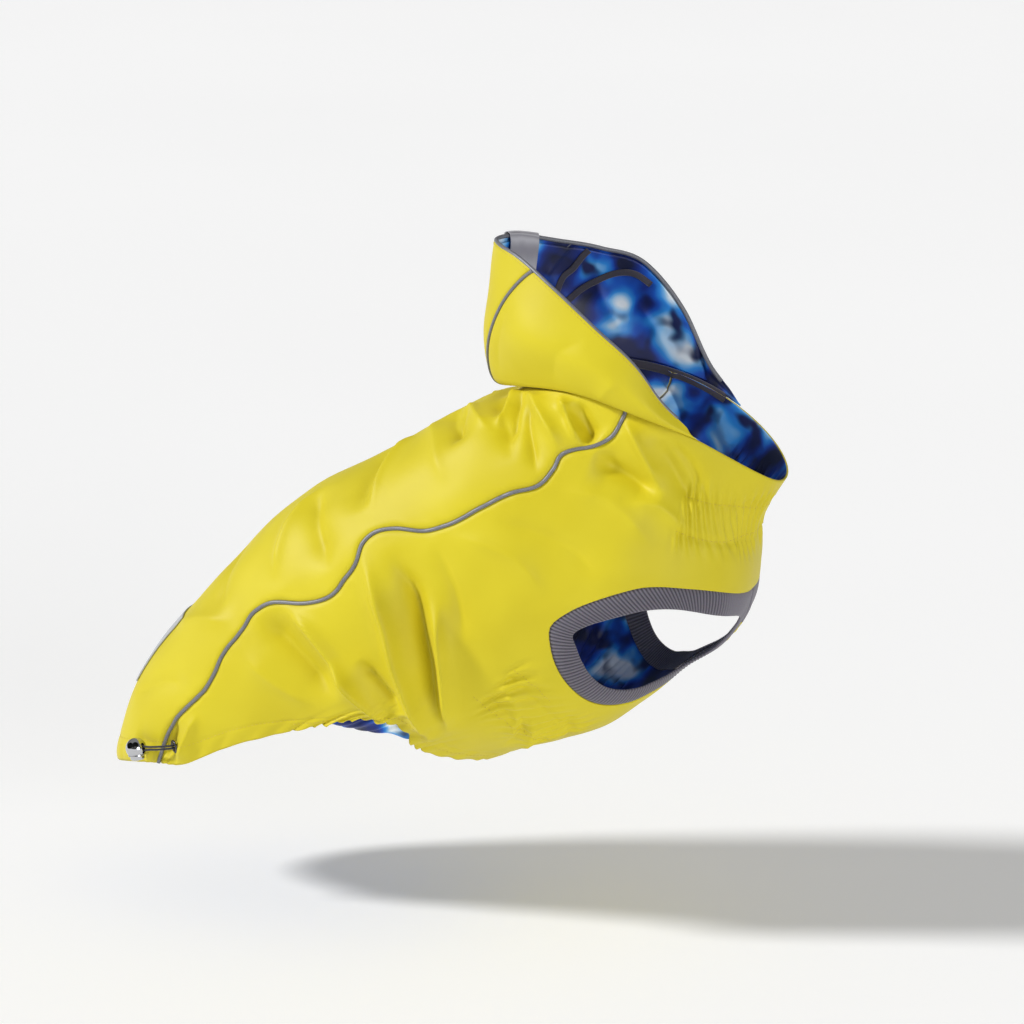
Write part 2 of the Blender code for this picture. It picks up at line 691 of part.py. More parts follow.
def make_hood_lining(collection):
    inset = HOOD_CLOTH + 2 * SEAM_GAP

    def place(along, around):
        up = HOOD_LINING_START + along * (HOOD_LINING_END - HOOD_LINING_START)
        degrees = (2 * around - 1) * HOOD_LINING_DEGREES
        return hood_point(up, degrees) - inset * hood_normal(up, degrees)

    cells = (HOOD_CELLS, HOOD_LINING_CELLS)
    return turned(sheet("hood_lining", LINING_PRINT, collection, cells, place, LINING))


def hood_edge_line(degrees, out):
    """A line along the hood's open edge, past it by a distance and centred on its wall."""
    edge = hood_point(HOOD_EDGE, degrees)
    below = hood_point(HOOD_EDGE - 0.4, degrees)
    normal = hood_normal(HOOD_EDGE - 0.1, degrees)
    return edge + out * unit(edge - below) - HOOD_CLOTH * normal


def make_hood_binding(collection):
    degrees = np.linspace(-BINDING_DEGREES, BINDING_DEGREES, 300)
    points = evenly(hood_edge_line(degrees, 3 * SEAM_GAP + BINDING_RADIUS), BINDING_POINTS)
    return tube("hood_binding", PIPING, collection, points, BINDING_RADIUS)


def make_hood_piping(collection, side, side_name):
    place = HOOD_EDGE * np.arange(1, HOOD_CELLS + 1) / HOOD_CELLS
    degrees = side * hood_seam_degrees(place)
    points = hood_point(place, degrees) - HOOD_PIPING_SUNK * hood_normal(place, degrees)
    return tube(f"hood_piping_{side_name}", PIPING, collection, points, HOOD_PIPING_RADIUS)


def make_label_tab(collection):
    """A tape folded over the hood's edge: short outside, longer inside."""
    degrees = np.linspace(*LABEL_DEGREES, 5)
    edge = hood_edge_line(degrees, 3 * SEAM_GAP + BINDING_RADIUS)
    top = hood_point(HOOD_EDGE, degrees)
    rise = unit(top - hood_point(HOOD_EDGE - 0.1, degrees))
    normal = hood_normal(HOOD_EDGE - 0.05, degrees)
    inside = HOOD_CLOTH + LINING + 4 * SEAM_GAP

    def face(wall):
        """The tape's line at a distance from the hood, from its outer end to its inner end."""
        clear = BINDING_RADIUS + SEAM_GAP + wall
        stops = [
            hood_point(place, degrees) + (SEAM_GAP + wall) * hood_normal(place, degrees)
            for place in LABEL_OUTSIDE
        ]
        for angle in np.radians((0, 45, 90, 135, 180)):
            stops.append(edge + clear * (math.cos(angle) * normal + math.sin(angle) * rise))
        for place in LABEL_INSIDE:
            stops.append(hood_point(place, degrees) - (inside + wall) * hood_normal(place, degrees))
        return np.stack(stops, axis=1)

    sections = np.concatenate([face(0), face(LABEL_WALL)[:, ::-1]], axis=1)
    return loft("label_tab", TAPE, collection, sections, False)


def make_hem_lining(collection, side, side_name):
    inset = -(CLOTH + 6 * SEAM_GAP)
    rows = np.array(SAG, float)

    def place(along, around):
        degrees = rows[0, 0] + around * (rows[-1, 0] - rows[0, 0])
        low = smooth(degrees, rows[:, 0], rows[:, 1])
        high = hem_ring(degrees) + SAG_INSIDE
        ring = low + along * (high - low)
        return cloth_point(ring, side * degrees, inset)

    name = f"hem_lining_{side_name}"
    made = sheet(name, LINING_PRINT, collection, HEM_LINING_CELLS, place, LINING)
    return turned(made) if side == RIGHT else made


def make_back_patch(collection):
    low, high = PATCH_RINGS

    def place(along, around):
        ring = low + along * (high - low)
        return cloth_point(ring, PATCH_HALF_DEGREES * (2 * around - 1), SEAM_GAP + PATCH_WALL)

    return turned(sheet("back_patch", TAPE, collection, PATCH_CELLS, place, PATCH_WALL))


def toggle_frame():
    """The eyelet's centre, and the directions to the lock, up the cloth and out of it."""
    eyelet = cloth_point(EYELET_PLACE.ring, EYELET_PLACE.degrees)
    lock = cloth_point(LOCK_PLACE.ring, LOCK_PLACE.degrees)
    middle = (np.array(EYELET_PLACE, float) + np.array(LOCK_PLACE, float)) / 2
    out = ring_normal(middle[0], middle[1])
    along = unit(lock - eyelet - ((lock - eyelet) @ out) * out)
    return eyelet, lock, along, np.cross(out, along), out


def axes_matrix(centre, along, across, out):
    """A matrix whose X, Y and Z run along, across and out."""
    rows = np.stack([along, across, out, centre], axis=1)
    return Matrix([list(row) for row in rows] + [[0, 0, 0, 1]])


def make_eyelet(collection):
    eyelet, _, _, _, _ = toggle_frame()
    out = ring_normal(EYELET_PLACE.ring, EYELET_PLACE.degrees)
    turn = Vector(out).to_track_quat("Z", "Y").to_matrix().to_4x4()
    sections = []
    for step in range(EYELET_SIDES):
        angle = 2 * math.pi * step / EYELET_SIDES
        flat = Vector((math.cos(angle), math.sin(angle), 0))
        low = EYELET_HOLE * flat, EYELET_RADIUS * flat
        high = Vector((0, 0, EYELET_WALL))
        ring = (low[0], low[1], low[1] + high * 0.6, low[1] * 0.8 + high, low[0] + high)
        sections.append([turn @ point for point in ring])
    made = loft("cord_eyelet", CHROME, collection, sections, True)
    made.location = Vector(eyelet + out * 2 * SEAM_GAP)
    return made


def mesh_object(bm, name, surface, collection, placed):
    mesh = bpy.data.meshes.new(name)
    bm.to_mesh(mesh)
    bm.free()
    obj = finish(mesh, name, surface, collection)
    obj.matrix_world = placed
    return obj


def make_cord_lock(collection, cutters):
    """A ball with one flat side, a slot through it for the elastic, and a button on its flat."""
    _, lock, along, across, out = toggle_frame()
    placed = axes_matrix(lock + out * (LOCK_RADIUS + 2 * SEAM_GAP), along, across, out)
    ball = bmesh.new()
    bmesh.ops.create_uvsphere(ball, u_segments=20, v_segments=12, radius=LOCK_RADIUS)
    everything = ball.verts[:] + ball.edges[:] + ball.faces[:]
    flat = {"plane_co": (0, LOCK_FLAT, 0), "plane_no": (0, 1, 0), "clear_outer": True}
    rim = bmesh.ops.bisect_plane(ball, geom=everything, **flat)["geom_cut"]
    bmesh.ops.contextual_create(ball, geom=[e for e in rim if isinstance(e, bmesh.types.BMEdge)])
    bmesh.ops.recalc_face_normals(ball, faces=ball.faces)
    body = mesh_object(ball, "cord_lock_body", CHROME, collection, placed)

    slot = bmesh.new()
    bmesh.ops.create_cube(slot, size=1)
    bmesh.ops.scale(slot, verts=slot.verts, vec=(4 * LOCK_RADIUS, SLOT_WIDTH, SLOT_HEIGHT))
    cut_with(body, hide_cutter(mesh_object(slot, "lock_slot_cutter", CHROME, cutters, placed)))

    button = bmesh.new()
    bmesh.ops.create_cone(
        button,
        cap_ends=True,
        segments=20,
        radius1=BUTTON_RADIUS,
        radius2=BUTTON_RADIUS * 0.8,
        depth=BUTTON_LENGTH,
    )
    offset = Matrix.Translation((0, LOCK_FLAT + SEAM_GAP + BUTTON_LENGTH / 2, 0))
    placed = placed @ offset @ Matrix.Rotation(-math.pi / 2, 4, "X")
    mesh_object(button, "cord_lock_button", CHROME, collection, placed)


def cord_line(count):
    """The elastic's centre line, out of the eyelet, round its loop in the lock and back."""
    eyelet, _, along, across, out = toggle_frame()
    rows = np.array(CORD_ROUTE, float) * MM
    back = rows[-2::-1] * np.array([1, -1, 1])
    rows = np.concatenate([rows, back])
    run = np.concatenate([[0], np.cumsum(np.linalg.norm(np.diff(rows, axis=0), axis=1))])
    fine = smooth(np.linspace(0, run[-1], 600), run, rows)
    points = eyelet + fine[:, :1] * along + fine[:, 1:2] * across + fine[:, 2:] * out
    return evenly(points, count)


def make_elastic_cord(collection):
    return tube("elastic_cord", ELASTIC, collection, cord_line(CORD_POINTS), CORD_RADIUS, 2)


def main():
    clear_scene()
    coat = new_collection("dog raincoat")
    cutters = new_collection("cutters")
    make_back_panel(coat)
    make_chest_strap(coat)
    make_hood_panels(coat)
    make_hood_lining(coat)
    make_hood_binding(coat)
    make_label_tab(coat)
    make_back_patch(coat)
    make_eyelet(coat)
    make_cord_lock(coat, cutters)
    make_elastic_cord(coat)
    for side, side_name in SIDES:
        make_side_panel(coat, cutters, side, side_name)
        make_armhole_rib(coat, side, side_name)
        make_body_piping(coat, side, side_name)
        make_hood_piping(coat, side, side_name)
        make_hem_lining(coat, side, side_name)


main()
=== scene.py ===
"""The looks of a dog raincoat with a turned-down hood: its cloth, linings, trims and hardware.

Metres, +Z up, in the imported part's frame. +X runs from the tail hem to the chest and +Y to the
garment's left side. A place on the body is a ring (0 the hem, 11 the neck) and an angle (0 the
centre back, 180 the belly, the right side positive). A place on the hood is a height (0 the neck
seam, 3 the open edge) and an angle (0 the brow).
"""

import math
from collections import namedtuple

import bmesh
import bpy
import numpy as np
from mathutils import Matrix, Vector


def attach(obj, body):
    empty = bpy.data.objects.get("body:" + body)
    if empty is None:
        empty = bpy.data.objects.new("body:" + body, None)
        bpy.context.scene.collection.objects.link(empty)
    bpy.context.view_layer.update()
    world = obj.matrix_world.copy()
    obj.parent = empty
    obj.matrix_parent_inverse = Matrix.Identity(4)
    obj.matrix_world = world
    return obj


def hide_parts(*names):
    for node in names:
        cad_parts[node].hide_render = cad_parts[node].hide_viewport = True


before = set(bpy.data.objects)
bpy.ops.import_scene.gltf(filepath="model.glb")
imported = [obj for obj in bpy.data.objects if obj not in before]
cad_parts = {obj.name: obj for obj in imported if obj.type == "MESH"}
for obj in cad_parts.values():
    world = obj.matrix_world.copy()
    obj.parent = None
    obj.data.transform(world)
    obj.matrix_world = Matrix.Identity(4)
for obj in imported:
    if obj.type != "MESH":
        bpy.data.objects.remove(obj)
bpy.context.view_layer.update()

MM = 0.001
SEAM_GAP = 0.3 * MM
RIGHT, LEFT = 1, -1
SIDES = ((RIGHT, "right"), (LEFT, "left"))

# The body's rings, in millimetres. Each runs from its centre-back point to its belly point.
Ring = namedtuple("Ring", "back_x back_z belly_x belly_z half_width square side_lift")
RINGS = (
    Ring(-263, -259, -26, -246, 68, 2.3, 10),
    Ring(-249, -218, 0, -239, 76, 2.3, 16),
    Ring(-230, -181, 26, -230, 82, 2.3, 11),
    Ring(-198, -143, 56, -219, 88, 2.4, 4),
    Ring(-162, -102, 85, -208, 92, 2.4, 0),
    Ring(-120, -65, 110, -189, 94, 2.5, 0),
    Ring(-76, -41, 135, -166, 93, 2.5, 0),
    Ring(-44, -22, 158, -150, 90, 2.6, 2),
    Ring(-18, -6, 173, -128, 85, 2.7, 6),
    Ring(0, 2, 178, -99, 77, 2.6, 14),
    Ring(13, 4, 180, -69, 69, 2.5, 22),
    Ring(26, 12, 196, -41, 62, 2.3, 26),
)
NECK = len(RINGS) - 1

# Where the hem cuts the rings: low at the tail and the belly, arched over each thigh.
HemPoint = namedtuple("HemPoint", "degrees ring")
HEM = (
    HemPoint(0, 0.0), HemPoint(40, 0.08), HemPoint(56, 0.09), HemPoint(68, 0.13),
    HemPoint(75, 0.35), HemPoint(83, 0.63), HemPoint(91, 0.92), HemPoint(96, 1.20),
    HemPoint(100, 1.62), HemPoint(103, 2.10), HemPoint(106, 2.34), HemPoint(112, 2.40),
    HemPoint(117, 2.33), HemPoint(121, 2.02), HemPoint(127, 1.64), HemPoint(134, 1.40),
    HemPoint(143, 1.32), HemPoint(156, 1.24), HemPoint(180, 1.15),
)

# The wavy piped seam between the back panel and each side panel.
Place = namedtuple("Place", "ring degrees")
SEAM = (
    Place(0.0, 55.5), Place(0.6, 55.3), Place(1.0, 57), Place(1.4, 59),
    Place(1.9, 59.6), Place(2.3, 57.3), Place(2.75, 53.5), Place(3.2, 51.8),
    Place(3.6, 50), Place(3.85, 52), Place(4.1, 59), Place(4.4, 63),
    Place(4.75, 62), Place(5.05, 60), Place(5.35, 55.3), Place(5.6, 54),
    Place(5.85, 56), Place(6.1, 61), Place(6.5, 63.8), Place(7.2, 65.5),
    Place(7.9, 69), Place(8.3, 73.5), Place(8.8, 75.3), Place(9.3, 75.8),
    Place(9.55, 79.3), Place(9.8, 84.8), Place(10.2, 89.6), Place(10.6, 89.4),
    Place(11.0, 87.5),
)

# The armhole, from its rear corner along the top to the chest, down the strap and back. The
# edge is where the rib band is sewn on, and the free edge is the band's own.
Armhole = namedtuple("Armhole", "edge_ring edge_degrees free_ring free_degrees")
ARMHOLE = (
    Armhole(6.00, 109.5, 6.10, 115.5), Armhole(6.38, 108.5, 6.40, 115.4),
    Armhole(6.80, 109.2, 6.76, 117), Armhole(7.18, 111.5, 7.07, 119.3),
    Armhole(7.50, 114.3, 7.34, 122), Armhole(7.80, 118, 7.58, 125.8),
    Armhole(8.03, 122.8, 7.75, 130), Armhole(8.25, 130.5, 7.88, 135.5),
    Armhole(8.42, 139.5, 7.96, 142), Armhole(8.50, 148, 8.01, 149.5),
    Armhole(8.53, 158, 8.03, 158), Armhole(8.53, 169, 8.00, 165),
    Armhole(8.48, 179.7, 7.90, 170), Armhole(8.12, 179.7, 7.79, 171),
    Armhole(7.83, 179.6, 7.63, 171.2), Armhole(7.50, 176.5, 7.40, 171),
    Armhole(7.0, 176, 7.0, 170.5), Armhole(6.4, 176, 6.45, 169.5),
    Armhole(5.85, 175.8, 6.05, 166.5), Armhole(5.52, 171, 5.85, 162),
    Armhole(5.30, 163, 5.68, 157), Armhole(5.04, 155, 5.48, 151.5),
    Armhole(4.90, 147, 5.36, 145), Armhole(4.92, 138, 5.34, 138),
    Armhole(5.08, 129.5, 5.45, 131.3), Armhole(5.32, 122, 5.64, 125.3),
    Armhole(5.64, 115, 5.87, 119.8),
)
ARMHOLE_CENTRE = Place(6.6, 148)
CUTTER_POINTS = 90
CUTTER_SHARES = (0.02, 0.25, 0.65, 1)  # rings of the cutter, as shares of the way out to the rim
CUTTER_REACH = 9 * MM
CUTTER_BELLY = (171, 175)  # degrees over which the cutter's rim turns past the belly
CUTTER_PAST_BELLY = 14  # degrees
RIB_WALL = 1.8 * MM
SMOOTH_RIBS = (0.32, 0.56)  # the share of the band that is stretched flat, round the chest
# The rib attribute is painted shade. The flat share takes this fixed value of it.
FLAT_RIB_SHADE = 0.85  # what the flat share has in place of the ribs' 0 to 1
# The chest strap's half width along its length, from the belly panel up to the chest.
StrapPoint = namedtuple("StrapPoint", "ring half_degrees")
STRAP = (
    StrapPoint(5.70, 3.6), StrapPoint(6.4, 3.6), StrapPoint(7.0, 3.5), StrapPoint(7.35, 3.0),
    StrapPoint(7.62, 1.2),
)

# Rings over which the creases die out at the neck seam: those of the solid, and finer ones.
NECK_FADE, FINE_NECK_FADE = 0.9, 0.45
BROAD_CREASE_MM = 9  # a crease of this width or more is one of the solid's
RING_STEP_MM = 37  # about how far apart the rings are

PIPING_END = 0.992  # the share of the seam that the piping runs, short of the hood

# The hood at angles from the brow (0) to its front corners, in millimetres. It runs from the
# neck seam out to the roll, up over the swell, and on to its open edge. It leans to the right:
# its edge drops by `lean` there and rises by as much on the left.
HoodRow = namedtuple(
    "HoodRow",
    "degrees roll_x roll_y roll_z swell_x swell_y swell_z edge_x edge_y edge_z lean",
)
HOOD = (
    HoodRow(0, 6, 0, 17, -1, 0, 48, 4, 0, 103, 0),
    HoodRow(20, 9, 22, 18, 4, 26, 50, 11, 21, 102.5, 0),
    HoodRow(45, 30, 42, 22, 24, 50, 54, 33, 42, 96.5, 0.5),
    HoodRow(65, 53, 55, 23, 46, 64, 54, 58, 57, 86, 5),
    HoodRow(85, 86, 67, 19, 80, 73, 46, 88, 66, 69, 10.5),
    HoodRow(100, 112, 70, 11, 110, 74, 28, 113, 68, 44, 6),
    HoodRow(112, 137, 66, 1, 134, 69, 7, 133, 65, 14, 1),
    HoodRow(119, 152, 59, -6, 149, 61, -3, 147, 61, 0, 0),
)
HOOD_END = HOOD[-1].degrees
HoodPlace = namedtuple("HoodPlace", "up degrees")
HOOD_SEAM = (HoodPlace(0.0, 16), HoodPlace(1.0, 18), HoodPlace(2.0, 30), HoodPlace(3.0, 52))
HOOD_EDGE = 3
HOOD_LINING_START = 0.9
HOOD_LINING_END = 2.94
HOOD_LINING_DEGREES = 108
BINDING_DEGREES = HOOD_END - 3

LABEL_DEGREES = (-34, -12)
LABEL_WALL = 0.8 * MM
LABEL_OUTSIDE = (2.82, 2.93)  # places up the hood on the tab's outer leg
LABEL_INSIDE = (2.9, 2.62, 2.33)
PATCH_RINGS = (1.45, 2.75)
PATCH_HALF_DEGREES = 20
PATCH_WALL = 0.9 * MM

# The lower edge of the gathered lining, which hangs below the hem's arch.
SagPoint = namedtuple("SagPoint", "degrees ring")
SAG = (
    SagPoint(98, 1.55), SagPoint(104, 1.42), SagPoint(110, 1.40), SagPoint(116, 1.46),
    SagPoint(121, 1.62), SagPoint(126, 1.74),
)
SAG_INSIDE = 0.22  # rings of lining above the hem, inside the cloth
SAG_PAST = 2  # degrees that the lining runs on at each end of the table

LOCK_PLACE = Place(0.40, 47)
EYELET_PLACE = Place(0.44, 61)
LOCK_RADIUS = 7.0 * MM
SLOT_WIDTH, SLOT_HEIGHT, SLOT_ROUND = 7.4 * MM, 2.6 * MM, 1.2 * MM
# Outlines that the lock's lip and its button are turned from: radius and height, in millimetres.
LOCK_LIP_MM = (
    (5.95, 4.15), (6.0, 4.5), (5.8, 4.75), (5.3, 4.8), (5.15, 4.6), (5.1, 3.9), (0, 3.9),
)
BUTTON_MM = ((0, 3.95), (4.75, 3.95), (4.8, 6.6), (4.65, 7.2), (4.2, 7.6), (3.4, 7.8), (0, 7.9))
# The lock's twin windows: the way that they face, the way across them, and their sizes.
WINDOW_WAY, WINDOW_ACROSS = (-0.05, -0.85, 0.52), (0.961, 0.276, 0.0)
WINDOW_SHIFT, WINDOW_OUT, WINDOW_DEPTH = 1.9 * MM, 6.2 * MM, 6 * MM
WINDOW_RADII = (2.05 * MM, 2.3 * MM)
# The ball's faces inside these, the walls of its slot and windows, are painted near black as shade.
LOCK_SHADE_RADIUS, LOCK_SHADE_HEIGHT = 6.55 * MM, 3.5 * MM  # the ball is dark inside these
# The eyelet's ring: its middle's radius, and its rim's half width, rise and half height.
EYELET_MIDDLE_MM, EYELET_RIM_MM, EYELET_RISE_MM, EYELET_HALF_MM = 3.5, 1.15, 0.35, 0.75
CORD_RADIUS = 0.7 * MM
# One strand of the elastic, from the eyelet to the middle of its loop inside the lock, in
# millimetres: along towards the lock, across, and out from the cloth.
RoutePoint = namedtuple("RoutePoint", "along across out")
CORD_ROUTE = (
    RoutePoint(-0.2, 0.9, 0.5), RoutePoint(1.2, 0.9, 2.6), RoutePoint(5.0, 0.9, 4.6),
    RoutePoint(11.0, 0.95, 6.5), RoutePoint(18.0, 1.0, 7.3), RoutePoint(24.0, 1.6, 7.4),
    RoutePoint(28.5, 2.4, 7.4), RoutePoint(31.6, 1.9, 7.4), RoutePoint(33.0, 0.0, 7.4),
)

# Creases, each a smooth line through places on the body. A height below 0 is a trough. A lean
# above 0 makes the side to the left of the line broader, and below 0 the right.
Crease = namedtuple("Crease", "line width_mm height_mm lean")
RIGHT_CREASES = [Crease(*row) for row in (
    # The solid's own, as long soft folds.
    (((10.5, 12), (9.6, 38), (8.4, 63)), 9, -4.0, 0),
    (((8.1, 8), (8.0, 24), (8.1, 44)), 9, -3.0, 0),
    (((6.5, 4), (6.1, 24), (5.6, 45)), 12, -3.5, 0),
    (((5.3, 18), (5.0, 40), (4.7, 58)), 11, -4.5, 0),
    (((10.8, 62), (10.3, 74), (9.8, 86)), 9, -5.0, 0),
    (((9.5, 86), (9.6, 101), (9.6, 116)), 10, -4.5, 0),
    (((10.7, 102), (10.3, 116), (9.8, 130)), 9, -3.5, 0),
    (((3.66, 50), (3.24, 72), (2.6, 94)), 13, -8.0, 0.2),
    (((5.6, 60), (5.2, 76), (4.4, 95), (3.8, 105), (2.8, 123)), 9, -7.0, 0),
    (((5.3, 56), (4.66, 78), (4.02, 92), (3.2, 108), (2.0, 130)), 9, 5.2, 0),
    (((5.46, 76), (4.7, 95), (3.6, 112), (2.6, 126)), 9, 5.0, 0),
    # Finer ones.
    (((3.9, 54), (3.78, 68), (3.25, 88), (2.7, 102)), 6.5, 6.0, 0.1),
    (((3.5, 78), (3.1, 91), (2.4, 112)), 5.0, 5.2, 0),
    (((3.75, 83), (3.5, 93), (3.0, 108)), 5.0, -4.2, 0),
    (((5.26, 57), (4.66, 77), (4.04, 91), (3.3, 106), (1.9, 132)), 5.5, 3.8, 0.2),
    (((5.5, 60), (5.1, 79), (4.34, 96), (3.84, 105), (2.8, 123)), 5.5, -2.2, 0),
    (((5.4, 82), (4.46, 99), (2.55, 126)), 5.5, 3.4, -0.2),
    (((6.1, 66), (5.6, 84), (4.9, 100)), 7.0, -2.0, 0),
    (((10.9, 22), (10.08, 34), (8.86, 47)), 5.0, 4.2, 0.2),
    (((10.9, 30), (9.7, 47), (8.74, 56)), 5.0, -3.6, 0),
    (((10.98, 34), (9.98, 61), (9.28, 75)), 5.5, 3.8, 0.2),
    (((10.9, 42), (9.42, 59), (8.48, 72)), 5.0, -3.2, 0),
    (((8.32, 6), (8.7, 24), (8.76, 47)), 5.5, 2.4, 0),
    (((8.56, 15), (8.12, 31), (7.7, 42)), 5.0, -2.0, 0),
    (((10.98, 57), (10.14, 72), (9.7, 82)), 4.5, 4.4, 0.3),
    (((10.98, 64), (10.3, 77), (9.85, 86)), 6.0, -4.0, 0),
    (((10.78, 87), (10.24, 102), (9.7, 116)), 6.0, 3.6, 0.2),
    (((9.68, 86), (9.68, 101), (9.6, 113)), 4.5, -2.0, 0),
    (((10.8, 106), (10.54, 120), (10.1, 132)), 4.5, -2.2, 0),
    (((7.0, 6), (6.34, 28), (5.7, 47)), 5.0, 3.4, 0.3),
    (((5.3, 16), (4.56, 36), (4.1, 48)), 7.0, 3.0, 0),
    (((2.9, 58), (2.5, 77), (2.2, 92)), 8.0, 1.8, 0),
    (((1.2, 26), (1.7, 41), (1.9, 55)), 8.0, -1.8, 0),
    (((2.6, 18), (3.0, 35), (3.3, 48)), 8.0, 2.0, 0),
    (((7.2, 70), (7.6, 91), (7.5, 108)), 8.5, -2.0, 0),
    (((8.5, 80), (8.9, 99), (8.6, 118)), 8.0, 1.8, 0),
    (((9.0, 102), (9.4, 115), (9.2, 129)), 6.0, 1.8, 0),
    (((6.4, 66), (6.8, 84), (6.5, 102)), 8.0, 1.8, 0),
    (((4.7, 112), (4.1, 126), (2.9, 140)), 5.0, 2.0, 0),
    (((4.4, 120), (3.7, 133), (2.4, 147)), 4.5, -1.8, 0),
    (((4.1, 130), (3.4, 141), (2.3, 158)), 4.5, 1.8, 0),
    (((4.6, 135), (3.9, 148), (2.9, 168)), 5.0, -1.5, 0),
    (((7.3, 4), (7.5, 28), (7.1, 54)), 8.5, 1.8, 0),
    (((4.0, 4), (3.7, 21), (3.2, 42)), 8.5, -1.8, 0),
    (((0.55, 40), (0.42, 49), (0.30, 56)), 7.0, -1.6, 0),
    (((1.0, 57.5), (0.5, 58.6), (0.1, 58)), 4.0, -2.6, 0),
    (((1.2, 64), (0.5, 64), (0.1, 64.5)), 4.5, 2.4, 0),
)]
LEFT_CREASES = [Crease(*row) for row in (
    (((10.7, 12), (9.8, 38), (8.7, 62)), 9, -3.4, 0),
    (((8.4, 8), (8.2, 24), (8.3, 42)), 9, -2.6, 0),
    (((6.8, 6), (6.3, 24), (5.8, 44)), 12, -3.0, 0),
    (((5.5, 20), (5.3, 40), (5.0, 58)), 11, -3.6, 0),
    (((10.9, 64), (10.5, 74), (10.1, 84)), 9, -4.2, 0),
    (((9.7, 88), (9.8, 102), (9.8, 114)), 10, -3.8, 0),
    (((10.8, 104), (10.5, 116), (10.1, 127)), 9, -3.0, 0),
    (((3.9, 58), (3.5, 74), (2.8, 93)), 13, -6.5, 0.2),
    (((5.7, 66), (5.4, 80), (4.6, 94), (3.4, 115)), 9, -5.5, 0),
    (((5.1, 72), (4.4, 92), (3.3, 110), (2.5, 124)), 9, 4.0, 0),
    (((5.6, 82), (4.8, 97), (3.8, 112), (3.0, 124)), 9, 3.4, 0),
    (((10.8, 20), (10.2, 36), (9.2, 52)), 4.5, 3.0, 0.2),
    (((10.8, 30), (9.9, 50), (9.0, 63)), 5.0, -2.4, 0),
    (((10.95, 50), (10.2, 69), (9.6, 85)), 4.5, 3.4, 0.3),
    (((10.85, 78), (10.1, 97), (9.3, 110)), 6.0, 3.0, 0),
    (((10.0, 84), (9.7, 103), (9.8, 119)), 5.0, -2.2, 0),
    (((8.6, 12), (8.3, 29), (7.8, 45)), 5.5, 2.4, 0),
    (((7.1, 6), (6.7, 27), (6.2, 46)), 5.5, -2.4, 0),
    (((6.1, 16), (5.5, 34), (5.1, 51)), 5.0, 3.0, 0.2),
    (((5.5, 62), (5.0, 80), (4.3, 96), (3.3, 113)), 5.0, 3.4, 0.2),
    (((5.8, 66), (5.5, 84), (4.8, 100), (3.9, 117)), 5.0, -2.6, 0),
    (((4.1, 58), (3.8, 75), (3.1, 95)), 5.5, 3.4, 0),
    (((3.4, 74), (3.0, 90), (2.6, 107)), 5.0, -2.6, 0),
    (((7.4, 70), (7.8, 89), (7.7, 108)), 8.0, 2.2, 0),
    (((8.8, 90), (8.9, 106), (8.4, 121)), 7.0, -2.0, 0),
    (((2.4, 24), (2.9, 37), (3.0, 51)), 8.0, 1.9, 0),
    (((1.0, 28), (1.4, 43), (1.6, 57)), 8.0, -1.7, 0),
    (((4.4, 112), (3.8, 128), (2.9, 146)), 6.0, 2.2, 0),
    (((4.2, 126), (3.5, 142), (2.6, 160)), 5.0, -1.8, 0),
)]
BROAD_CREASE_EXTRA_MM = 2.4  # the cloth's folds are this much deeper than the solid's
FINE_CREASE_SCALE = 1.6
CREASE_SHARPNESS = 0.22  # the share of a crease's width over which its crest is rounded
CREASE_STEPS = 18
CREASE_ENDS = 0.3  # the share of a crease over which each end dies out

# Stitched elastic: two lines either side of a middle line, with ripples across them.
Elastic = namedtuple("Elastic", "line half_width_mm ripple_mm depth_mm slant fade_mm")
ELASTICS = (
    Elastic(((9.50, 121.5), (9.62, 131), (9.83, 146), (10.0, 156), (10.1, 180)),
            11.7, 6.6, 2.7, 0.35, 9),
    Elastic(((4.50, 113), (4.35, 121.5), (3.95, 134), (3.7, 143), (3.5, 156)),
            11.0, 8.4, 3.0, -0.5, 12),
)
CLOTH, HOOD_CLOTH, LINING = 1.8 * MM, 1.5 * MM, 1.0 * MM  # the solids' walls
BODY_WALL, HOOD_WALL, LINING_WALL = 1.3 * MM, 0.9 * MM, 0.6 * MM  # the cloth's own
BACK_CELLS, SIDE_CELLS = (250, 140), (200, 220)
HOOD_CENTRE_FINE, HOOD_SIDE_FINE = (90, 60), (90, 150)
PANEL_TUCK = 0.3 * MM  # between a seam's line and the cloth's edge, under the piping
SEAM_DIP_MM, SEAM_DIP_WIDTH_MM, SEAM_PUCKER_MM = 1.5, 2.4, 0.22
HOOD_SEAM_DIP_MM, HOOD_SEAM_DIP_WIDTH_MM = 1.2, 2.2
FINE_PIPING_RADIUS, FINE_PIPING_PROUD = 1.25 * MM, 0.5 * MM
FINE_HOOD_PIPING_RADIUS = 1.1 * MM
FINE_BINDING_RADIUS = 1.35 * MM
HOOD_PAST_EDGE = 2.0 * MM
STITCH_OUT = 0.05 * MM
HOOD_STITCH_IN, HOOD_STITCH_DEGREES = 1.6 * MM, 113
# The hem's rows: degrees from and to, points, and the share of the hem's depth.
HEM_STITCHES = ((0.5, 92, 200, 1), (93, 178, 260, 0.6))
HOOD_TAPE_WIDTH, TAPE_WALL, TAPE_CROWN, TAPE_STEPS = 4.5 * MM, 0.4 * MM, 0.25 * MM, 60
NECK_TAPE_WIDTH, NECK_TAPE_DEGREES = 7.5 * MM, 112
NECK_TAPE_EDGE, NECK_TAPE_CROWN = 0.6 * MM, 0.9 * MM  # how far inside the cloth's wall it lies
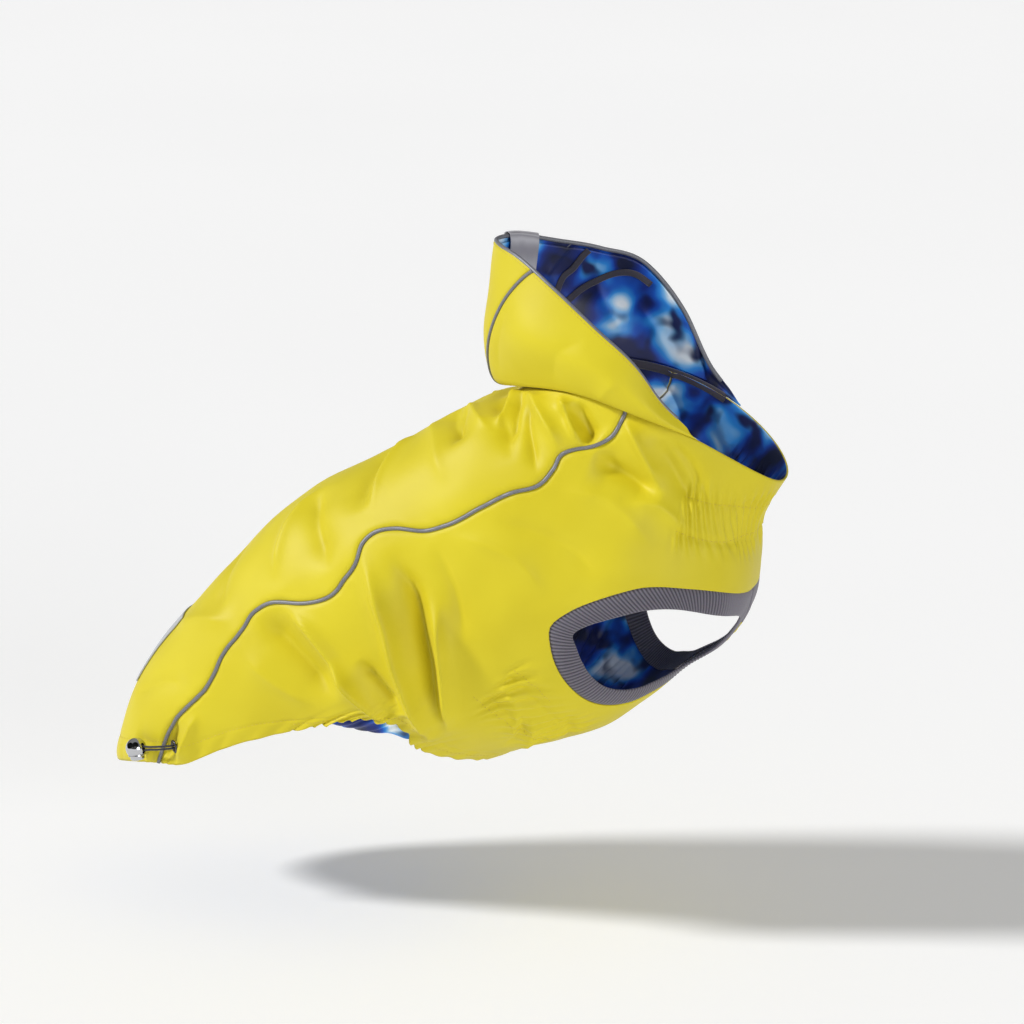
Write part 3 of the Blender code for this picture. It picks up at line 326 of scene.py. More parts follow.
# The lining's taped seams, as places on the hood.
HOOD_TAPES = (
    ((2.95, 60), (2.84, 58), (2.63, 55), (2.5, 51), (2.27, 48), (1.9, 44), (1.3, 40)),
    ((2.74, 88), (2.72, 81), (2.62, 74), (2.46, 68), (2.28, 63), (2.1, 58), (1.95, 52)),
)
FINE_RIBS, RIB_SAMPLES, RIB_ROUND = 150, 7, 20
RIB_DEPTH, RIB_PAD, RIB_SEAM_DIP = 0.5 * MM, 0.6 * MM, 0.8 * MM
HEM_DEPTH = 17 * MM
HEM_GROOVE, HEM_GROOVE_WIDTH = 0.35 * MM, 1.6 * MM  # where the turned hem is sewn down
HEM_ROLL, HEM_ROLL_REACH = 4 * MM, 6 * MM  # how far the drawn cord rolls the hem in at the back
HEM_ROLL_END, HEM_ROLL_FADE = 66, 24  # degrees
# The line that a side panel's grid follows in place of the wavy seam, away from it.
CALM_DEGREES, CALM_RISE, CALM_FROM, CALM_RINGS = 58, 30, 6.5, 4.0
PLACE_STEPS = 700
HEM_SHARE = 0.6  # how far a panel's grid is spaced by its hem, and not by its width

# Where elastic or the draw cord gathers the hem.
HemPucker = namedtuple("HemPucker", "degrees_a degrees_b pitch_mm depth_mm reach_mm")
HEM_PUCKERS = (
    HemPucker(92, 134, 17, 0.9, 26), HemPucker(38, 66, 8.0, 0.5, 12),
    HemPucker(128, 180, 15, 0.5, 16), HemPucker(66, 96, 21, 0.35, 16),
    HemPucker(0, 38, 17, 0.4, 14),
)
# The angles at which the arch's elastic pinches the hem.
HEM_NOTCHES = (
    94.6, 98.2, 99.6, 101.3, 102.8, 104.1, 106.3, 109, 112.5, 120.1, 125.9, 130.2,
)
# Between two notches the edge bulges out, and softer folds fan up from it.
EDGE_BULGE_MM, EDGE_BULGE_REACH = 1.9, 7 * MM
FAN_BULGE_MM, FAN_BULGE_REACH = 1.2, 17 * MM
EYELET_TILT = 32  # degrees, as the taut elastic pulls it towards the lock
EYELET_TILT_REACH_MM = 9.0  # of cloth round it that tilts too
LEFT_NOTCH_SHIFT = 0.9
HEM_PRINT_MOVED_MM = (40, 0, 25)  # so that the arch shows the print's deeper blues
SCALLOP_DROP, SCALLOP_REACH = 1.8 * MM, 8 * MM
LINING_DROP = 0.11  # rings that the hem lining hangs lower half way along the arch
# The hem lining's gathers, its puff, how its lower edge turns in, and how far in it lies.
LINING_PITCH_MM, LINING_GATHER_MM, LINING_PUFF_MM = 9.5, 1.3, 3.4
LINING_TURN_IN_MM, LINING_INSET_MM = 5, 1.8
ELASTIC_ROWS = (
    ((9.90, 124.5), (10.03, 135), (10.20, 146), (10.32, 160), (10.4, 179)),
    ((9.15, 122.5), (9.25, 131.5), (9.47, 145.5), (9.73, 160), (9.8, 179)),
    ((4.93, 114), (4.80, 122.5), (4.6, 130)),
    ((4.10, 113), (3.88, 121.5), (3.53, 134.5), (3.35, 141.5), (3.1, 156)),
)
HOOD_CREASES = [Crease(*row) for row in (
    (((0.9, 30), (1.8, 38), (2.6, 46)), 9.0, -1.4, 0),
    (((1.0, 70), (1.9, 76), (2.7, 84)), 8.0, -1.2, 0),
    (((0.6, 84), (1.4, 92), (2.2, 98)), 6.0, 1.2, 0),
    (((1.2, -10), (2.0, 2), (2.8, 10)), 9.0, -1.2, 0),
    (((1.2, -60), (2.0, -72), (2.7, -84)), 8.0, 1.4, 0),
)]
LINING_CREASES = [Crease(*row) for row in (
    (((2.7, -40), (2.1, -52), (1.5, -60)), 5.0, 2.0, 0),
    (((2.6, -66), (1.9, -74), (1.3, -80)), 5.0, 1.8, 0),
    (((2.6, -20), (1.9, -24), (1.3, -22)), 5.0, 1.6, 0),
    (((2.4, 20), (1.8, 28), (1.2, 30)), 5.0, 1.6, 0),
    (((2.2, -84), (1.7, -92), (1.2, -96)), 5.0, 1.6, 0),
    (((2.4, 60), (1.8, 70), (1.2, 76)), 5.0, 1.8, 0),
)]

# A sheet of cloth's cut, along its seams: flat (width and length), area, held, rests_on and
# with_pieces. Nothing here makes one.
Cut = namedtuple("Cut", "flat area held rests_on with_pieces")

CAMERA_AZIMUTH, CAMERA_ELEVATION, CAMERA_DISTANCE = 16, 13, 2.6
CAMERA_TARGET = (0.015, 0, -0.074)
FRAME_WIDTH = 0.6656  # at the camera's target
FLOOR_HEIGHT = -0.345
WORLD_LIGHT, LOW_SKY_LIGHT = 0.31, 0.95
LOW_SKY_ENDS = (0.06, 0.09)  # where the pale low sky ends, as the height of the way to it
# Each lamp's name, the way to it, its strength and its spread in degrees.
SUNS = (
    ("key", (-0.78, -0.36, 0.62), 2.7, 9),
    ("fill", (0.9, -0.9, 0.2), 1.35, 30),
)


def linear(value):
    """One channel of a screen colour, made linear."""
    return value / 12.92 if value <= 0.04045 else ((value + 0.055) / 1.055) ** 2.4


def smooth(x, knots, values):
    """The smooth curve through a table's values at rising knots."""
    knots = np.asarray(knots, float)
    values = np.asarray(values, float)
    x = np.asarray(x, float)
    slopes = np.gradient(values, knots, axis=0)
    i = np.clip(np.searchsorted(knots, x, side="right") - 1, 0, len(knots) - 2)
    width = knots[i + 1] - knots[i]
    t = (x - knots[i]) / width
    if values.ndim == 2:
        width, t = width[..., None], t[..., None]
    start = (1 + 2 * t) * (1 - t) ** 2 * values[i] + t * (1 - t) ** 2 * width * slopes[i]
    end = t * t * (3 - 2 * t) * values[i + 1] + t * t * (t - 1) * width * slopes[i + 1]
    return start + end


def unit(vectors):
    return vectors / np.linalg.norm(vectors, axis=-1, keepdims=True)


def ring_point(ring, degrees):
    """A place on the plain tube."""
    back_x, back_z, belly_x, belly_z, half_width, square, lift = np.moveaxis(
        smooth(ring, np.arange(len(RINGS)), np.array(RINGS, float)), -1, 0
    )
    angle = np.radians(degrees)
    towards_back, sideways = np.cos(angle), np.sin(angle)
    radius = (np.abs(towards_back) ** square + np.abs(sideways) ** square) ** (-1 / square)
    share = radius * towards_back / 2
    x = (back_x + belly_x) / 2 + share * (back_x - belly_x)
    z = (back_z + belly_z) / 2 + share * (back_z - belly_z) + lift * sideways**2
    y = -radius * sideways * half_width
    return np.stack([x, y, z], axis=-1) * MM


def ring_normal(ring, degrees, step=0.02):
    """The way out of the plain tube."""
    along = ring_point(ring + step, degrees) - ring_point(ring - step, degrees)
    around = ring_point(ring, degrees + step) - ring_point(ring, degrees - step)
    return unit(np.cross(around, along))


def smoothstep(share):
    """A soft step from 0 to 1, held beyond them."""
    share = np.clip(share, 0, 1)
    return share * share * (3 - 2 * share)


def from_table(table, x):
    """A table's second column at values of its first."""
    rows = np.array(table, float)
    return smooth(x, rows[:, 0], rows[:, 1])


def run_along(points):
    """How far along a line each of its points lies."""
    return np.concatenate([[0], np.cumsum(np.linalg.norm(np.diff(points, axis=0), axis=1))])


def line_at(points, run, stops):
    """A line's points at some distances along it."""
    return np.stack([np.interp(stops, run, points[:, k]) for k in range(3)], axis=-1)


def line_places(line, count=CREASE_STEPS):
    """Places on the smooth line through a few of them."""
    rows = np.array(line, float)
    return smooth(np.linspace(0, len(rows) - 1, count), np.arange(len(rows)), rows)


def line_path(line, point_at, side, count=CREASE_STEPS):
    """The same line as points, on one side of a surface."""
    places = line_places(line, count)
    return point_at(places[:, 0], side * places[:, 1])


def beside(points, path, reach):
    """Each point's distance from a path, its side of it and how far along, where it is in reach."""
    far = np.full(points.shape[:-1], np.inf)
    turn, run = np.zeros(far.shape), np.zeros(far.shape)
    low, high = path.min(axis=0) - reach, path.max(axis=0) + reach
    near = np.all((points > low) & (points < high), axis=-1)
    here = points[near]
    best, best_turn, best_run = far[near], turn[near], run[near]
    covered = 0.0
    for start, end in zip(path[:-1], path[1:]):
        line = end - start
        length = np.linalg.norm(line)
        share = np.clip((here - start) @ line / length**2, 0, 1)
        away = here - start - share[:, None] * line
        gap = np.linalg.norm(away, axis=-1)
        closer = gap < best
        best = np.where(closer, gap, best)
        outwards = np.array([0, here[:, 1].mean() if len(here) else 1, 0])
        best_turn = np.where(closer, np.sign(np.cross(line, away) @ outwards), best_turn)
        best_run = np.where(closer, covered + share * length, best_run)
        covered += length
    far[near], turn[near], run[near] = best, best_turn, best_run
    return far, turn, run, covered


def crease_height(points, path, crease):
    """What one crease adds: highest at its crest, dying out to its sides and ends."""
    width = crease.width_mm * MM
    gap, turn, run, length = beside(points, path, 4 * width)
    share = run / length
    ends = smoothstep(share / CREASE_ENDS) * smoothstep((1 - share) / CREASE_ENDS)
    away = np.minimum(gap, 1.0) / (width * (1 + crease.lean * turn))
    crest = np.hypot(away, CREASE_SHARPNESS) - CREASE_SHARPNESS
    return crease.height_mm * MM * ends * np.exp(-1.4 * crest) * (away < 4)


def elastic_height(points, path, elastic):
    """Ripples between two rows of stitched elastic, and the cloth drawn in along the rows."""
    half, fade = elastic.half_width_mm * MM, elastic.fade_mm * MM
    gap, turn, run, length = beside(points, path, half + 3 * fade)
    gap = np.minimum(gap, 1.0)
    uneven = run + 1.4 * MM * np.sin(run / (8.3 * MM)) + elastic.slant * turn * gap
    depth = 0.75 + 0.25 * np.sin(run / (11 * MM) + 1)
    wave = depth * np.cos(2 * math.pi * uneven / (elastic.ripple_mm * MM))
    ends = smoothstep(run / (9 * MM)) * smoothstep((length - run) / (9 * MM))
    across = np.exp(-((np.maximum(gap - half, 0) / fade) ** 2))
    drawn = np.exp(-(((gap - half) / (2.4 * MM)) ** 2))
    height = elastic.depth_mm * MM * (0.5 * wave * across - 0.35 * drawn - 0.25 * across)
    return height * ends


def creases_height(ring, degrees, points, broad):
    """What the solid's creases, or the finer ones, add to the body cloth's height."""
    on_left = np.sin(np.radians(degrees)) < 0
    moved = np.zeros(np.shape(ring))
    for side, here, creases in ((RIGHT, ~on_left, RIGHT_CREASES), (LEFT, on_left, LEFT_CREASES)):
        for crease in creases:
            if (crease.width_mm >= BROAD_CREASE_MM) == broad:
                path = line_path(crease.line, ring_point, side)
                height = crease_height(points, path, crease)
                more = 1 + BROAD_CREASE_EXTRA_MM / abs(crease.height_mm)
                moved += np.where(here, (more if broad else FINE_CREASE_SCALE) * height, 0)
    fade = NECK_FADE if broad else FINE_NECK_FADE
    return moved * smoothstep((NECK - ring) / fade)


def body_relief(ring, degrees, points):
    """How far the folds that the solid has too move the body cloth out from the tube."""
    return creases_height(ring, degrees, points, True)


def fine_relief(ring, degrees, points):
    """The creases, ripples and seams that are finer than the solid's folds."""
    on_left = np.sin(np.radians(degrees)) < 0
    moved = creases_height(ring, degrees, points, False)
    for elastic in ELASTICS:
        for side, here in ((RIGHT, ~on_left), (LEFT, on_left)):
            path = line_path(elastic.line, ring_point, side, 40)
            moved += np.where(here, elastic_height(points, path, elastic), 0)
    x, y, z = np.moveaxis(points / MM, -1, 0)
    slack = 0.4 * MM * np.sin(x / 13 + z / 21 + 0.7) * np.sin(z / 15 - x / 29 + y / 17)
    slack += 0.35 * MM * np.sin(x / 8.5 - z / 12) * np.sin((x + z) / 19 + y / 11 + 2)
    moved += slack * smoothstep((NECK - ring) / FINE_NECK_FADE)
    return moved + seam_dip(ring, np.abs(degrees)) + hem_pucker(ring, degrees)


def cloth_point(ring, degrees, out=0.0, fine=True):
    """A place on the body cloth's outer face, moved out by a distance."""
    ring, degrees = np.broadcast_arrays(np.asarray(ring, float), np.asarray(degrees, float))
    points = ring_point(ring, degrees)
    moved = body_relief(ring, degrees, points) + out
    if fine:
        moved = moved + fine_relief(ring, degrees, points)
    return points + moved[..., None] * ring_normal(ring, degrees)


def hem_ring(degrees):
    """Where the hem cuts the rings."""
    return from_table(HEM, np.abs(degrees))


def hem_step(degrees):
    """Half a ring's step up the cloth from the hem."""
    hem = hem_ring(degrees)
    return ring_point(hem + 0.5, degrees) - ring_point(hem, degrees)


def notch_share(degrees):
    """0 at each notch that the hem's elastic pinches, and 1 half way between two."""
    shifted = np.abs(degrees) + np.where(np.asarray(degrees) < 0, LEFT_NOTCH_SHIFT, 0)
    count = np.interp(shifted, HEM_NOTCHES, np.arange(len(HEM_NOTCHES)))
    inside = (shifted > HEM_NOTCHES[0]) & (shifted < HEM_NOTCHES[-1])
    return np.where(inside, np.abs(np.sin(math.pi * count)), 0.6)


def scallop(degrees):
    """How far up, in rings, the hem's edge moves between its notches."""
    step = hem_step(degrees)
    along = ring_point(hem_ring(degrees + 1), degrees + 1) - ring_point(hem_ring(degrees), degrees)
    level = np.linalg.norm(np.cross(unit(along), unit(step)), axis=-1)
    # In front of the arch the edge drops to the belly, and its scallops are shallow.
    depth = np.interp(np.abs(degrees), (109, 118), (SCALLOP_DROP, 0.45 * SCALLOP_DROP))
    rise = depth * level * (0.6 - notch_share(degrees) ** 0.7)
    return rise / (2 * np.linalg.norm(step, axis=-1))


def hem_run(degrees):
    """How far along the hem's line an angle lies from the centre back."""
    stops = np.linspace(0, 180, 361)
    run = run_along(ring_point(hem_ring(stops), stops))
    return np.interp(np.abs(degrees), stops, run)


def above_hem(ring, degrees):
    """The distance up the cloth from the hem."""
    return (ring - hem_ring(degrees)) * 2 * np.linalg.norm(hem_step(degrees), axis=-1)


def hem_pucker(ring, degrees):
    """Small gathers where elastic and the draw cord pull the hem in."""
    around = np.abs(degrees)
    run = hem_run(degrees)
    high = above_hem(ring, degrees)
    moved = np.zeros(np.shape(ring))
    for pucker in HEM_PUCKERS:
        middle = 0.5 * (pucker.degrees_a + pucker.degrees_b)
        spread = 0.5 * (pucker.degrees_b - pucker.degrees_a)
        inside = smoothstep((spread - np.abs(around - middle)) / (0.35 * spread))
        uneven = run / MM + 1.6 * np.sin(run / (7.1 * MM)) + 0.9 * np.sin(run / (3.7 * MM))
        wave = np.cos(2 * math.pi * (uneven / pucker.pitch_mm))
        fade = np.exp(-((high / (pucker.reach_mm * MM)) ** 2))
        moved += pucker.depth_mm * MM * inside * fade * (wave - 0.3)
    near_edge = np.exp(-np.maximum(high, 0) / EDGE_BULGE_REACH)
    radiating = np.exp(-np.maximum(high, 0) / FAN_BULGE_REACH)
    bulge = notch_share(degrees)
    edge_bulge = EDGE_BULGE_MM * (bulge**0.8 - 0.6) * near_edge
    moved += MM * (edge_bulge + FAN_BULGE_MM * (bulge - 0.6) * radiating)
    away = (around - EYELET_PLACE.degrees) / degrees_for(MM, *EYELET_PLACE)
    level = (ring - EYELET_PLACE.ring) * RING_STEP_MM
    near = np.exp(-((away**2 + level**2) / EYELET_TILT_REACH_MM**2)) * (degrees > 0)
    moved += MM * math.tan(math.radians(EYELET_TILT)) * 0.8 * away * near
    groove = HEM_GROOVE * np.exp(-(((high - HEM_DEPTH) / HEM_GROOVE_WIDTH) ** 2))
    rolled = HEM_ROLL * np.exp(-np.maximum(high, 0) / HEM_ROLL_REACH)
    rolled = rolled * smoothstep((HEM_ROLL_END - around) / HEM_ROLL_FADE)
    return moved - groove - rolled


def seam_degrees(ring):
    """The piped seam's angle."""
    return from_table(SEAM, ring)


def degrees_for(distance, place, degrees, point_at=ring_point):
    """The angle that a distance round the tube, or round the hood, takes up."""
    step = point_at(place, degrees + 0.5) - point_at(place, degrees - 0.5)
    return distance / np.linalg.norm(step, axis=-1)


def hood_rows(degrees):
    """The hood's three curves at an angle, the right side's (-Y) at positive angles."""
    sides = []
    for side in (LEFT, RIGHT):
        rows = np.array(HOOD, float)
        rows[:, 0] *= side
        rows[:, [2, 5, 8]] *= -side
        rows[:, 6] -= side * rows[:, 10] / 2
        rows[:, 9] -= side * rows[:, 10]
        sides.append(rows[:, :10])
    rows = np.concatenate([sides[0][:0:-1], sides[1]])
    return smooth(degrees, rows[:, 0], rows[:, 1:])


def hood_point(place, degrees):
    """A place on the hood: 0 is the neck seam, 1 the roll, 2 the swell, HOOD_EDGE the open edge."""
    place, degrees = np.broadcast_arrays(np.asarray(place, float), np.asarray(degrees, float))
    values = hood_rows(degrees) * MM
    curves = [values[..., i : i + 3] for i in (0, 3, 6)]
    neck = ring_point(np.full(place.shape, float(NECK)), degrees)
    away = unit(curves[0] - neck)
    neck = neck + away * 4 * SEAM_GAP
    stops = np.stack([neck, *curves])
    slopes = np.gradient(stops, axis=0)
    i = np.clip(place.astype(int), 0, 2)
    t = (place - i)[..., None]
    low = i[None, ..., None]
    stop_a, stop_b, slope_a, slope_b = (
        np.take_along_axis(table, index, axis=0)[0]
        for table, index in ((stops, low), (stops, low + 1), (slopes, low), (slopes, low + 1))
    )
    start = (1 + 2 * t) * (1 - t) ** 2 * stop_a + t * (1 - t) ** 2 * slope_a
    end = t * t * (3 - 2 * t) * stop_b + t * t * (t - 1) * slope_b
    return start + end


def hood_normal(place, degrees, step=0.02):
    """The way out of the hood's plain form."""
    up = hood_point(np.clip(place + step, 0, HOOD_EDGE), degrees)
    up = up - hood_point(np.clip(place - step, 0, HOOD_EDGE), degrees)
    around = hood_point(place, degrees + step) - hood_point(place, degrees - step)
    return unit(np.cross(around, up))


def hood_seam_degrees(place):
    """The angle of the hood's piped seams."""
    return from_table(HOOD_SEAM, place)


def hood_rise(degrees):
    """The way up the hood's cloth at its open edge."""
    return unit(hood_point(HOOD_EDGE, degrees) - hood_point(HOOD_EDGE - 0.2, degrees))


def past_edge(place, degrees):
    """How the hood's cloth runs on past the solid's edge, into the tape."""
    past = HOOD_PAST_EDGE * smoothstep((place - 2.4) / 0.6)
    return past[..., None] * hood_rise(degrees)


def evenly(points, count):
    """The same line, with its points evenly spaced."""
    run = run_along(points)
    return line_at(points, run, np.linspace(0, run[-1], count))


def panel_place(side, degrees_at):
    """The function that spreads a panel from hem to neck, between its lines of angles."""
    rings = np.linspace(0, NECK, PLACE_STEPS)
    stops = np.linspace(0, 1, 600)
    first = hem_ring(degrees_at(np.zeros(stops.shape), stops))
    run = run_along(ring_point(first, degrees_at(first, stops)))
    spread = HEM_SHARE * run / run[-1] + (1 - HEM_SHARE) * stops

    def at(along, around):
        around = np.interp(around, spread, stops)
        columns, column = np.unique(around, return_inverse=True)
        degrees = degrees_at(rings[None, :], columns[:, None])
        hem = hem_ring(degrees)
        root = np.sqrt(np.maximum((NECK - 2 * hem) ** 2 + 4 * hem * (rings - hem), 0))
        shares = 2 * (rings - hem) / (NECK - 2 * hem + root)
        ring = np.empty(np.shape(along))
        for number, share in enumerate(shares):
            here = column == number
            ring[here] = np.interp(along[here], np.maximum.accumulate(share), rings)
        degrees = side * degrees_at(ring, around)
        high = np.maximum(above_hem(ring, degrees), 0)
        return ring + scallop(degrees) * np.exp(-high / SCALLOP_REACH), degrees

    return at


def armhole_loop(count):
    """Edge and free-edge places at even steps round the armhole, as four columns."""
    rows = np.array(ARMHOLE, float)
    tiled = np.concatenate([rows, rows, rows])
    run = run_along(ring_point(tiled[:, 0], tiled[:, 1]))
    low, high = run[len(rows)], run[2 * len(rows)]
    stops = low + (high - low) * np.arange(count) / count
    return smooth(stops, run, tiled)


def toggle_frame():
    """The eyelet's centre, and the directions to the lock, up the cloth and out of it."""
    eyelet = cloth_point(EYELET_PLACE.ring, EYELET_PLACE.degrees, fine=False)
    lock = cloth_point(LOCK_PLACE.ring, LOCK_PLACE.degrees, fine=False)
    middle = (np.array(EYELET_PLACE, float) + np.array(LOCK_PLACE, float)) / 2
    out = ring_normal(middle[0], middle[1])
    along = unit(lock - eyelet - ((lock - eyelet) @ out) * out)
    return eyelet, lock, along, np.cross(out, along), out


def axes_matrix(centre, along, across, out):
    """A matrix whose X, Y and Z run along, across and out."""
    rows = np.stack([along, across, out, centre], axis=1)
    return Matrix([list(row) for row in rows] + [[0, 0, 0, 1]])


def cord_line(count):
    """The elastic's centre line, out of the eyelet, round its loop in the lock and back."""
    eyelet, _, along, across, out = toggle_frame()
    rows = np.array(CORD_ROUTE, float) * MM
    back = rows[-2::-1] * np.array([1, -1, 1])
    rows = np.concatenate([rows, back])
    run = run_along(rows)
    fine = smooth(np.linspace(0, run[-1], 600), run, rows)
    points = eyelet + fine[:, :1] * along + fine[:, 1:2] * across + fine[:, 2:] * out
    return evenly(points, count)


def seam_dip(ring, around):
    """The cloth sinks to the piping's seam, with short puckers along it."""
    away = (around - seam_degrees(ring)) / seam_angle(ring, MM)
    run = ring * RING_STEP_MM
    pucker = np.sin(run / 2.3 + 1.5 * np.sin(run / 9)) * np.exp(-((away / 6) ** 2))
    dip = SEAM_DIP_MM * np.exp(-((away / SEAM_DIP_WIDTH_MM) ** 2))
    return MM * (-dip + SEAM_PUCKER_MM * pucker)


def seam_angle(ring, distance, step=0.03):
    """The angle that a distance square to the piped seam takes up."""
    middle = seam_degrees(ring)
    wave = ring_point(ring + step, seam_degrees(ring + step))
    wave = wave - ring_point(ring - step, seam_degrees(ring - step))
    around = unit(ring_point(ring, middle + 0.5) - ring_point(ring, middle - 0.5))
    sideways = np.sum(unit(wave) * around, axis=-1)
    return degrees_for(distance / np.sqrt(1 - sideways**2), ring, middle)


def hood_creases_height(creases, points):
    """What some creases add to the height of the hood's cloth."""
    paths = [line_path(crease.line, hood_point, RIGHT) for crease in creases]
    return sum(crease_height(points, path, crease) for path, crease in zip(paths, creases))


def hood_relief(place, degrees, points):
    """How far creases, slack and seams move the hood's cloth out."""
    moved = hood_creases_height(HOOD_CREASES, points)
    x, y, z = np.moveaxis(points / MM, -1, 0)
    moved += 0.3 * MM * np.sin(x / 11 + z / 14 + 0.4) * np.sin(z / 12 - y / 16)
    away = np.abs(degrees) - hood_seam_degrees(place)
    away = away / degrees_for(MM, place, degrees, hood_point)
    moved -= HOOD_SEAM_DIP_MM * MM * np.exp(-((away / HOOD_SEAM_DIP_WIDTH_MM) ** 2))
    return moved * smoothstep(place / 0.3)


def hood_cloth_point(place, degrees, out=0.0):
    """A place on the hood's outer face. Its edge runs a little past the solid's, into the tape."""
    place, degrees = np.broadcast_arrays(np.asarray(place, float), np.asarray(degrees, float))
    points = hood_point(place, degrees)
    normal = hood_normal(np.minimum(place, HOOD_EDGE - 0.02), degrees)
    moved = hood_relief(place, degrees, points) + out
    return points + moved[..., None] * normal + past_edge(place, degrees)


def binding_line(degrees):
    """The middle of the binding: past the hood's open edge, and inside its outer face."""
    edge = hood_point(HOOD_EDGE, degrees) + (HOOD_PAST_EDGE + 0.5 * MM) * hood_rise(degrees)
    return edge - 0.5 * (HOOD_CLOTH + LINING) * hood_normal(HOOD_EDGE - 0.1, degrees)


def srgb(colour):
    """A hex colour as linear red, green, blue and alpha."""
    return (*(linear(int(colour[i : i + 2], 16) / 255) for i in (1, 3, 5)), 1)


def per(mm):
    """The scale of a pattern whose features are this many millimetres apart."""
    return 1 / (mm * MM)


def add_node(tree, kind, settings=None, inputs=None, stops=None, to=None):
    """Adds a node with its settings, its inputs' values or links, a colour ramp's stops, and the
    socket that its first output goes to."""
    made = tree.nodes.new("ShaderNode" + kind)
    for name, value in (settings or {}).items():
        setattr(made, name, value)
    for name, value in (inputs or {}).items():
        socket = made.inputs[name]
        if isinstance(value, bpy.types.NodeSocket):
            tree.links.new(value, socket)
        else:
            socket.default_value = value
    if stops:
        ramp = made.color_ramp
        while len(ramp.elements) < len(stops):
            ramp.elements.new(0.5)
        for element, (position, colour) in zip(ramp.elements, stops):
            element.position = position
            element.color = srgb(colour)
    if to:
        tree.links.new(made.outputs[0], to)
    return made


def new_material(name, **shader_values):
    """A Principled material, its shader's values set, and its node tree and shader."""
    made = bpy.data.materials.new(name)
    made.use_nodes = True
    tree = made.node_tree
    shader = tree.nodes["Principled BSDF"]
    for socket, value in shader_values.items():
        shader.inputs[socket.replace("_", " ")].default_value = value
    return made, tree, shader


def patterned(name, kind, output, pattern, stops, bump=None, settings=None, source="Object",
              **shader_values):
    """A material whose colour follows one pattern, and so does its bump, if it has one: its
    strength and its depth in millimetres."""
    made, tree, shader = new_material(name, **shader_values)
    place = add_node(tree, "UVMap" if source == "UV" else "TexCoord").outputs[source]
    value = add_node(tree, kind, settings, {"Vector": place, **pattern}).outputs[output]
    add_node(tree, "ValToRGB", inputs={"Fac": value}, stops=stops, to=shader.inputs["Base Color"])
    if bump:
        # A distance is least in the middle of each cell, which stands highest.
        add_node(
            tree, "Bump", {"invert": output == "Distance"},
            {"Height": value, "Strength": bump[0], "Distance": bump[1] * MM},
            to=shader.inputs["Normal"],
        )
    return made


def coated_rainwear():
    """Polyester with a soft polyurethane face: an even satin yellow with a faint grain."""
    made, tree, shader = new_material(
        "polyurethane_coated_polyester", Roughness=0.56, Sheen_Weight=0.05, Sheen_Roughness=0.5,
        Specular_IOR_Level=0.4,
    )
    place = add_node(tree, "TexCoord").outputs["Object"]
    broad = add_node(tree, "TexNoise", inputs={"Vector": place, "Scale": per(55), "Detail": 2.0})
    add_node(
        tree, "ValToRGB", inputs={"Fac": broad.outputs["Fac"]},
        stops=[(0.3, "#CABA0C"), (0.7, "#D2C318")], to=shader.inputs["Base Color"],
    )
    # The threads are 0.2 mm apart, so the grain is drawn five times as coarse to show at all.
    grain = add_node(tree, "TexNoise", inputs={"Vector": place, "Scale": per(1.0), "Detail": 3.0})
    soft = add_node(tree, "TexNoise", inputs={"Vector": place, "Scale": per(9), "Detail": 3.0})
    both = add_node(
        tree, "Math", {"operation": "MULTIPLY_ADD"},
        {0: soft.outputs["Fac"], 1: 2.2, 2: grain.outputs["Fac"]},
    )
    add_node(
        tree, "Bump", inputs={"Height": both.outputs[0], "Strength": 0.35, "Distance": 0.12 * MM},
        to=shader.inputs["Normal"],
    )
    return made


def printed_lining(name="tie_dye_printed_polyester", moved_mm=(0, 0, 0), lighter=0.0):
    """Smooth polyester with a tie-dye print: soft navy, royal, sky and white blotches."""
    made, tree, shader = new_material(
        name, Roughness=0.5, Sheen_Weight=0.1, Specular_IOR_Level=0.45
    )
    place = add_node(
        tree, "VectorMath", {"operation": "ADD"},
        {0: add_node(tree, "TexCoord").outputs["Object"], 1: [MM * way for way in moved_mm]},
    ).outputs[0]
    blotches = add_node(
        tree, "TexNoise",
        inputs={"Vector": place, "Scale": per(30), "Detail": 1.6, "Roughness": 0.45,
                "Distortion": 0.35},
    )
    lifted = add_node(
        tree, "Math", {"operation": "ADD"}, {0: blotches.outputs["Fac"], 1: lighter}
    )
    colour = add_node(
        tree, "ValToRGB", inputs={"Fac": lifted.outputs[0]},
        stops=[(0.34, "#071238"), (0.43, "#0A2C86"), (0.49, "#0E56C0"), (0.55, "#2C8FE0"),
               (0.60, "#86C2EE"), (0.66, "#E8F1F7")],
    )
    darks = add_node(
        tree, "TexNoise",
        inputs={"Vector": place, "Scale": per(17), "Detail": 1.0, "Distortion": 0.2},
    )
    mask = add_node(
        tree, "MapRange", {"interpolation_type": "SMOOTHSTEP"},
        {"Value": darks.outputs["Fac"], 1: 0.5, 2: 0.68},
    )
    add_node(
        tree, "MixRGB", {"blend_type": "MIX"},
        {"Fac": mask.outputs["Result"], "Color1": colour.outputs["Color"],
         "Color2": srgb("#08164E")},
        to=shader.inputs["Base Color"],
    )
    weave = add_node(tree, "TexNoise", inputs={"Vector": place, "Scale": per(0.9)})
    add_node(
        tree, "Bump",
        inputs={"Height": weave.outputs["Fac"], "Strength": 0.3, "Distance": 0.1 * MM},
        to=shader.inputs["Normal"],
    )
    return made


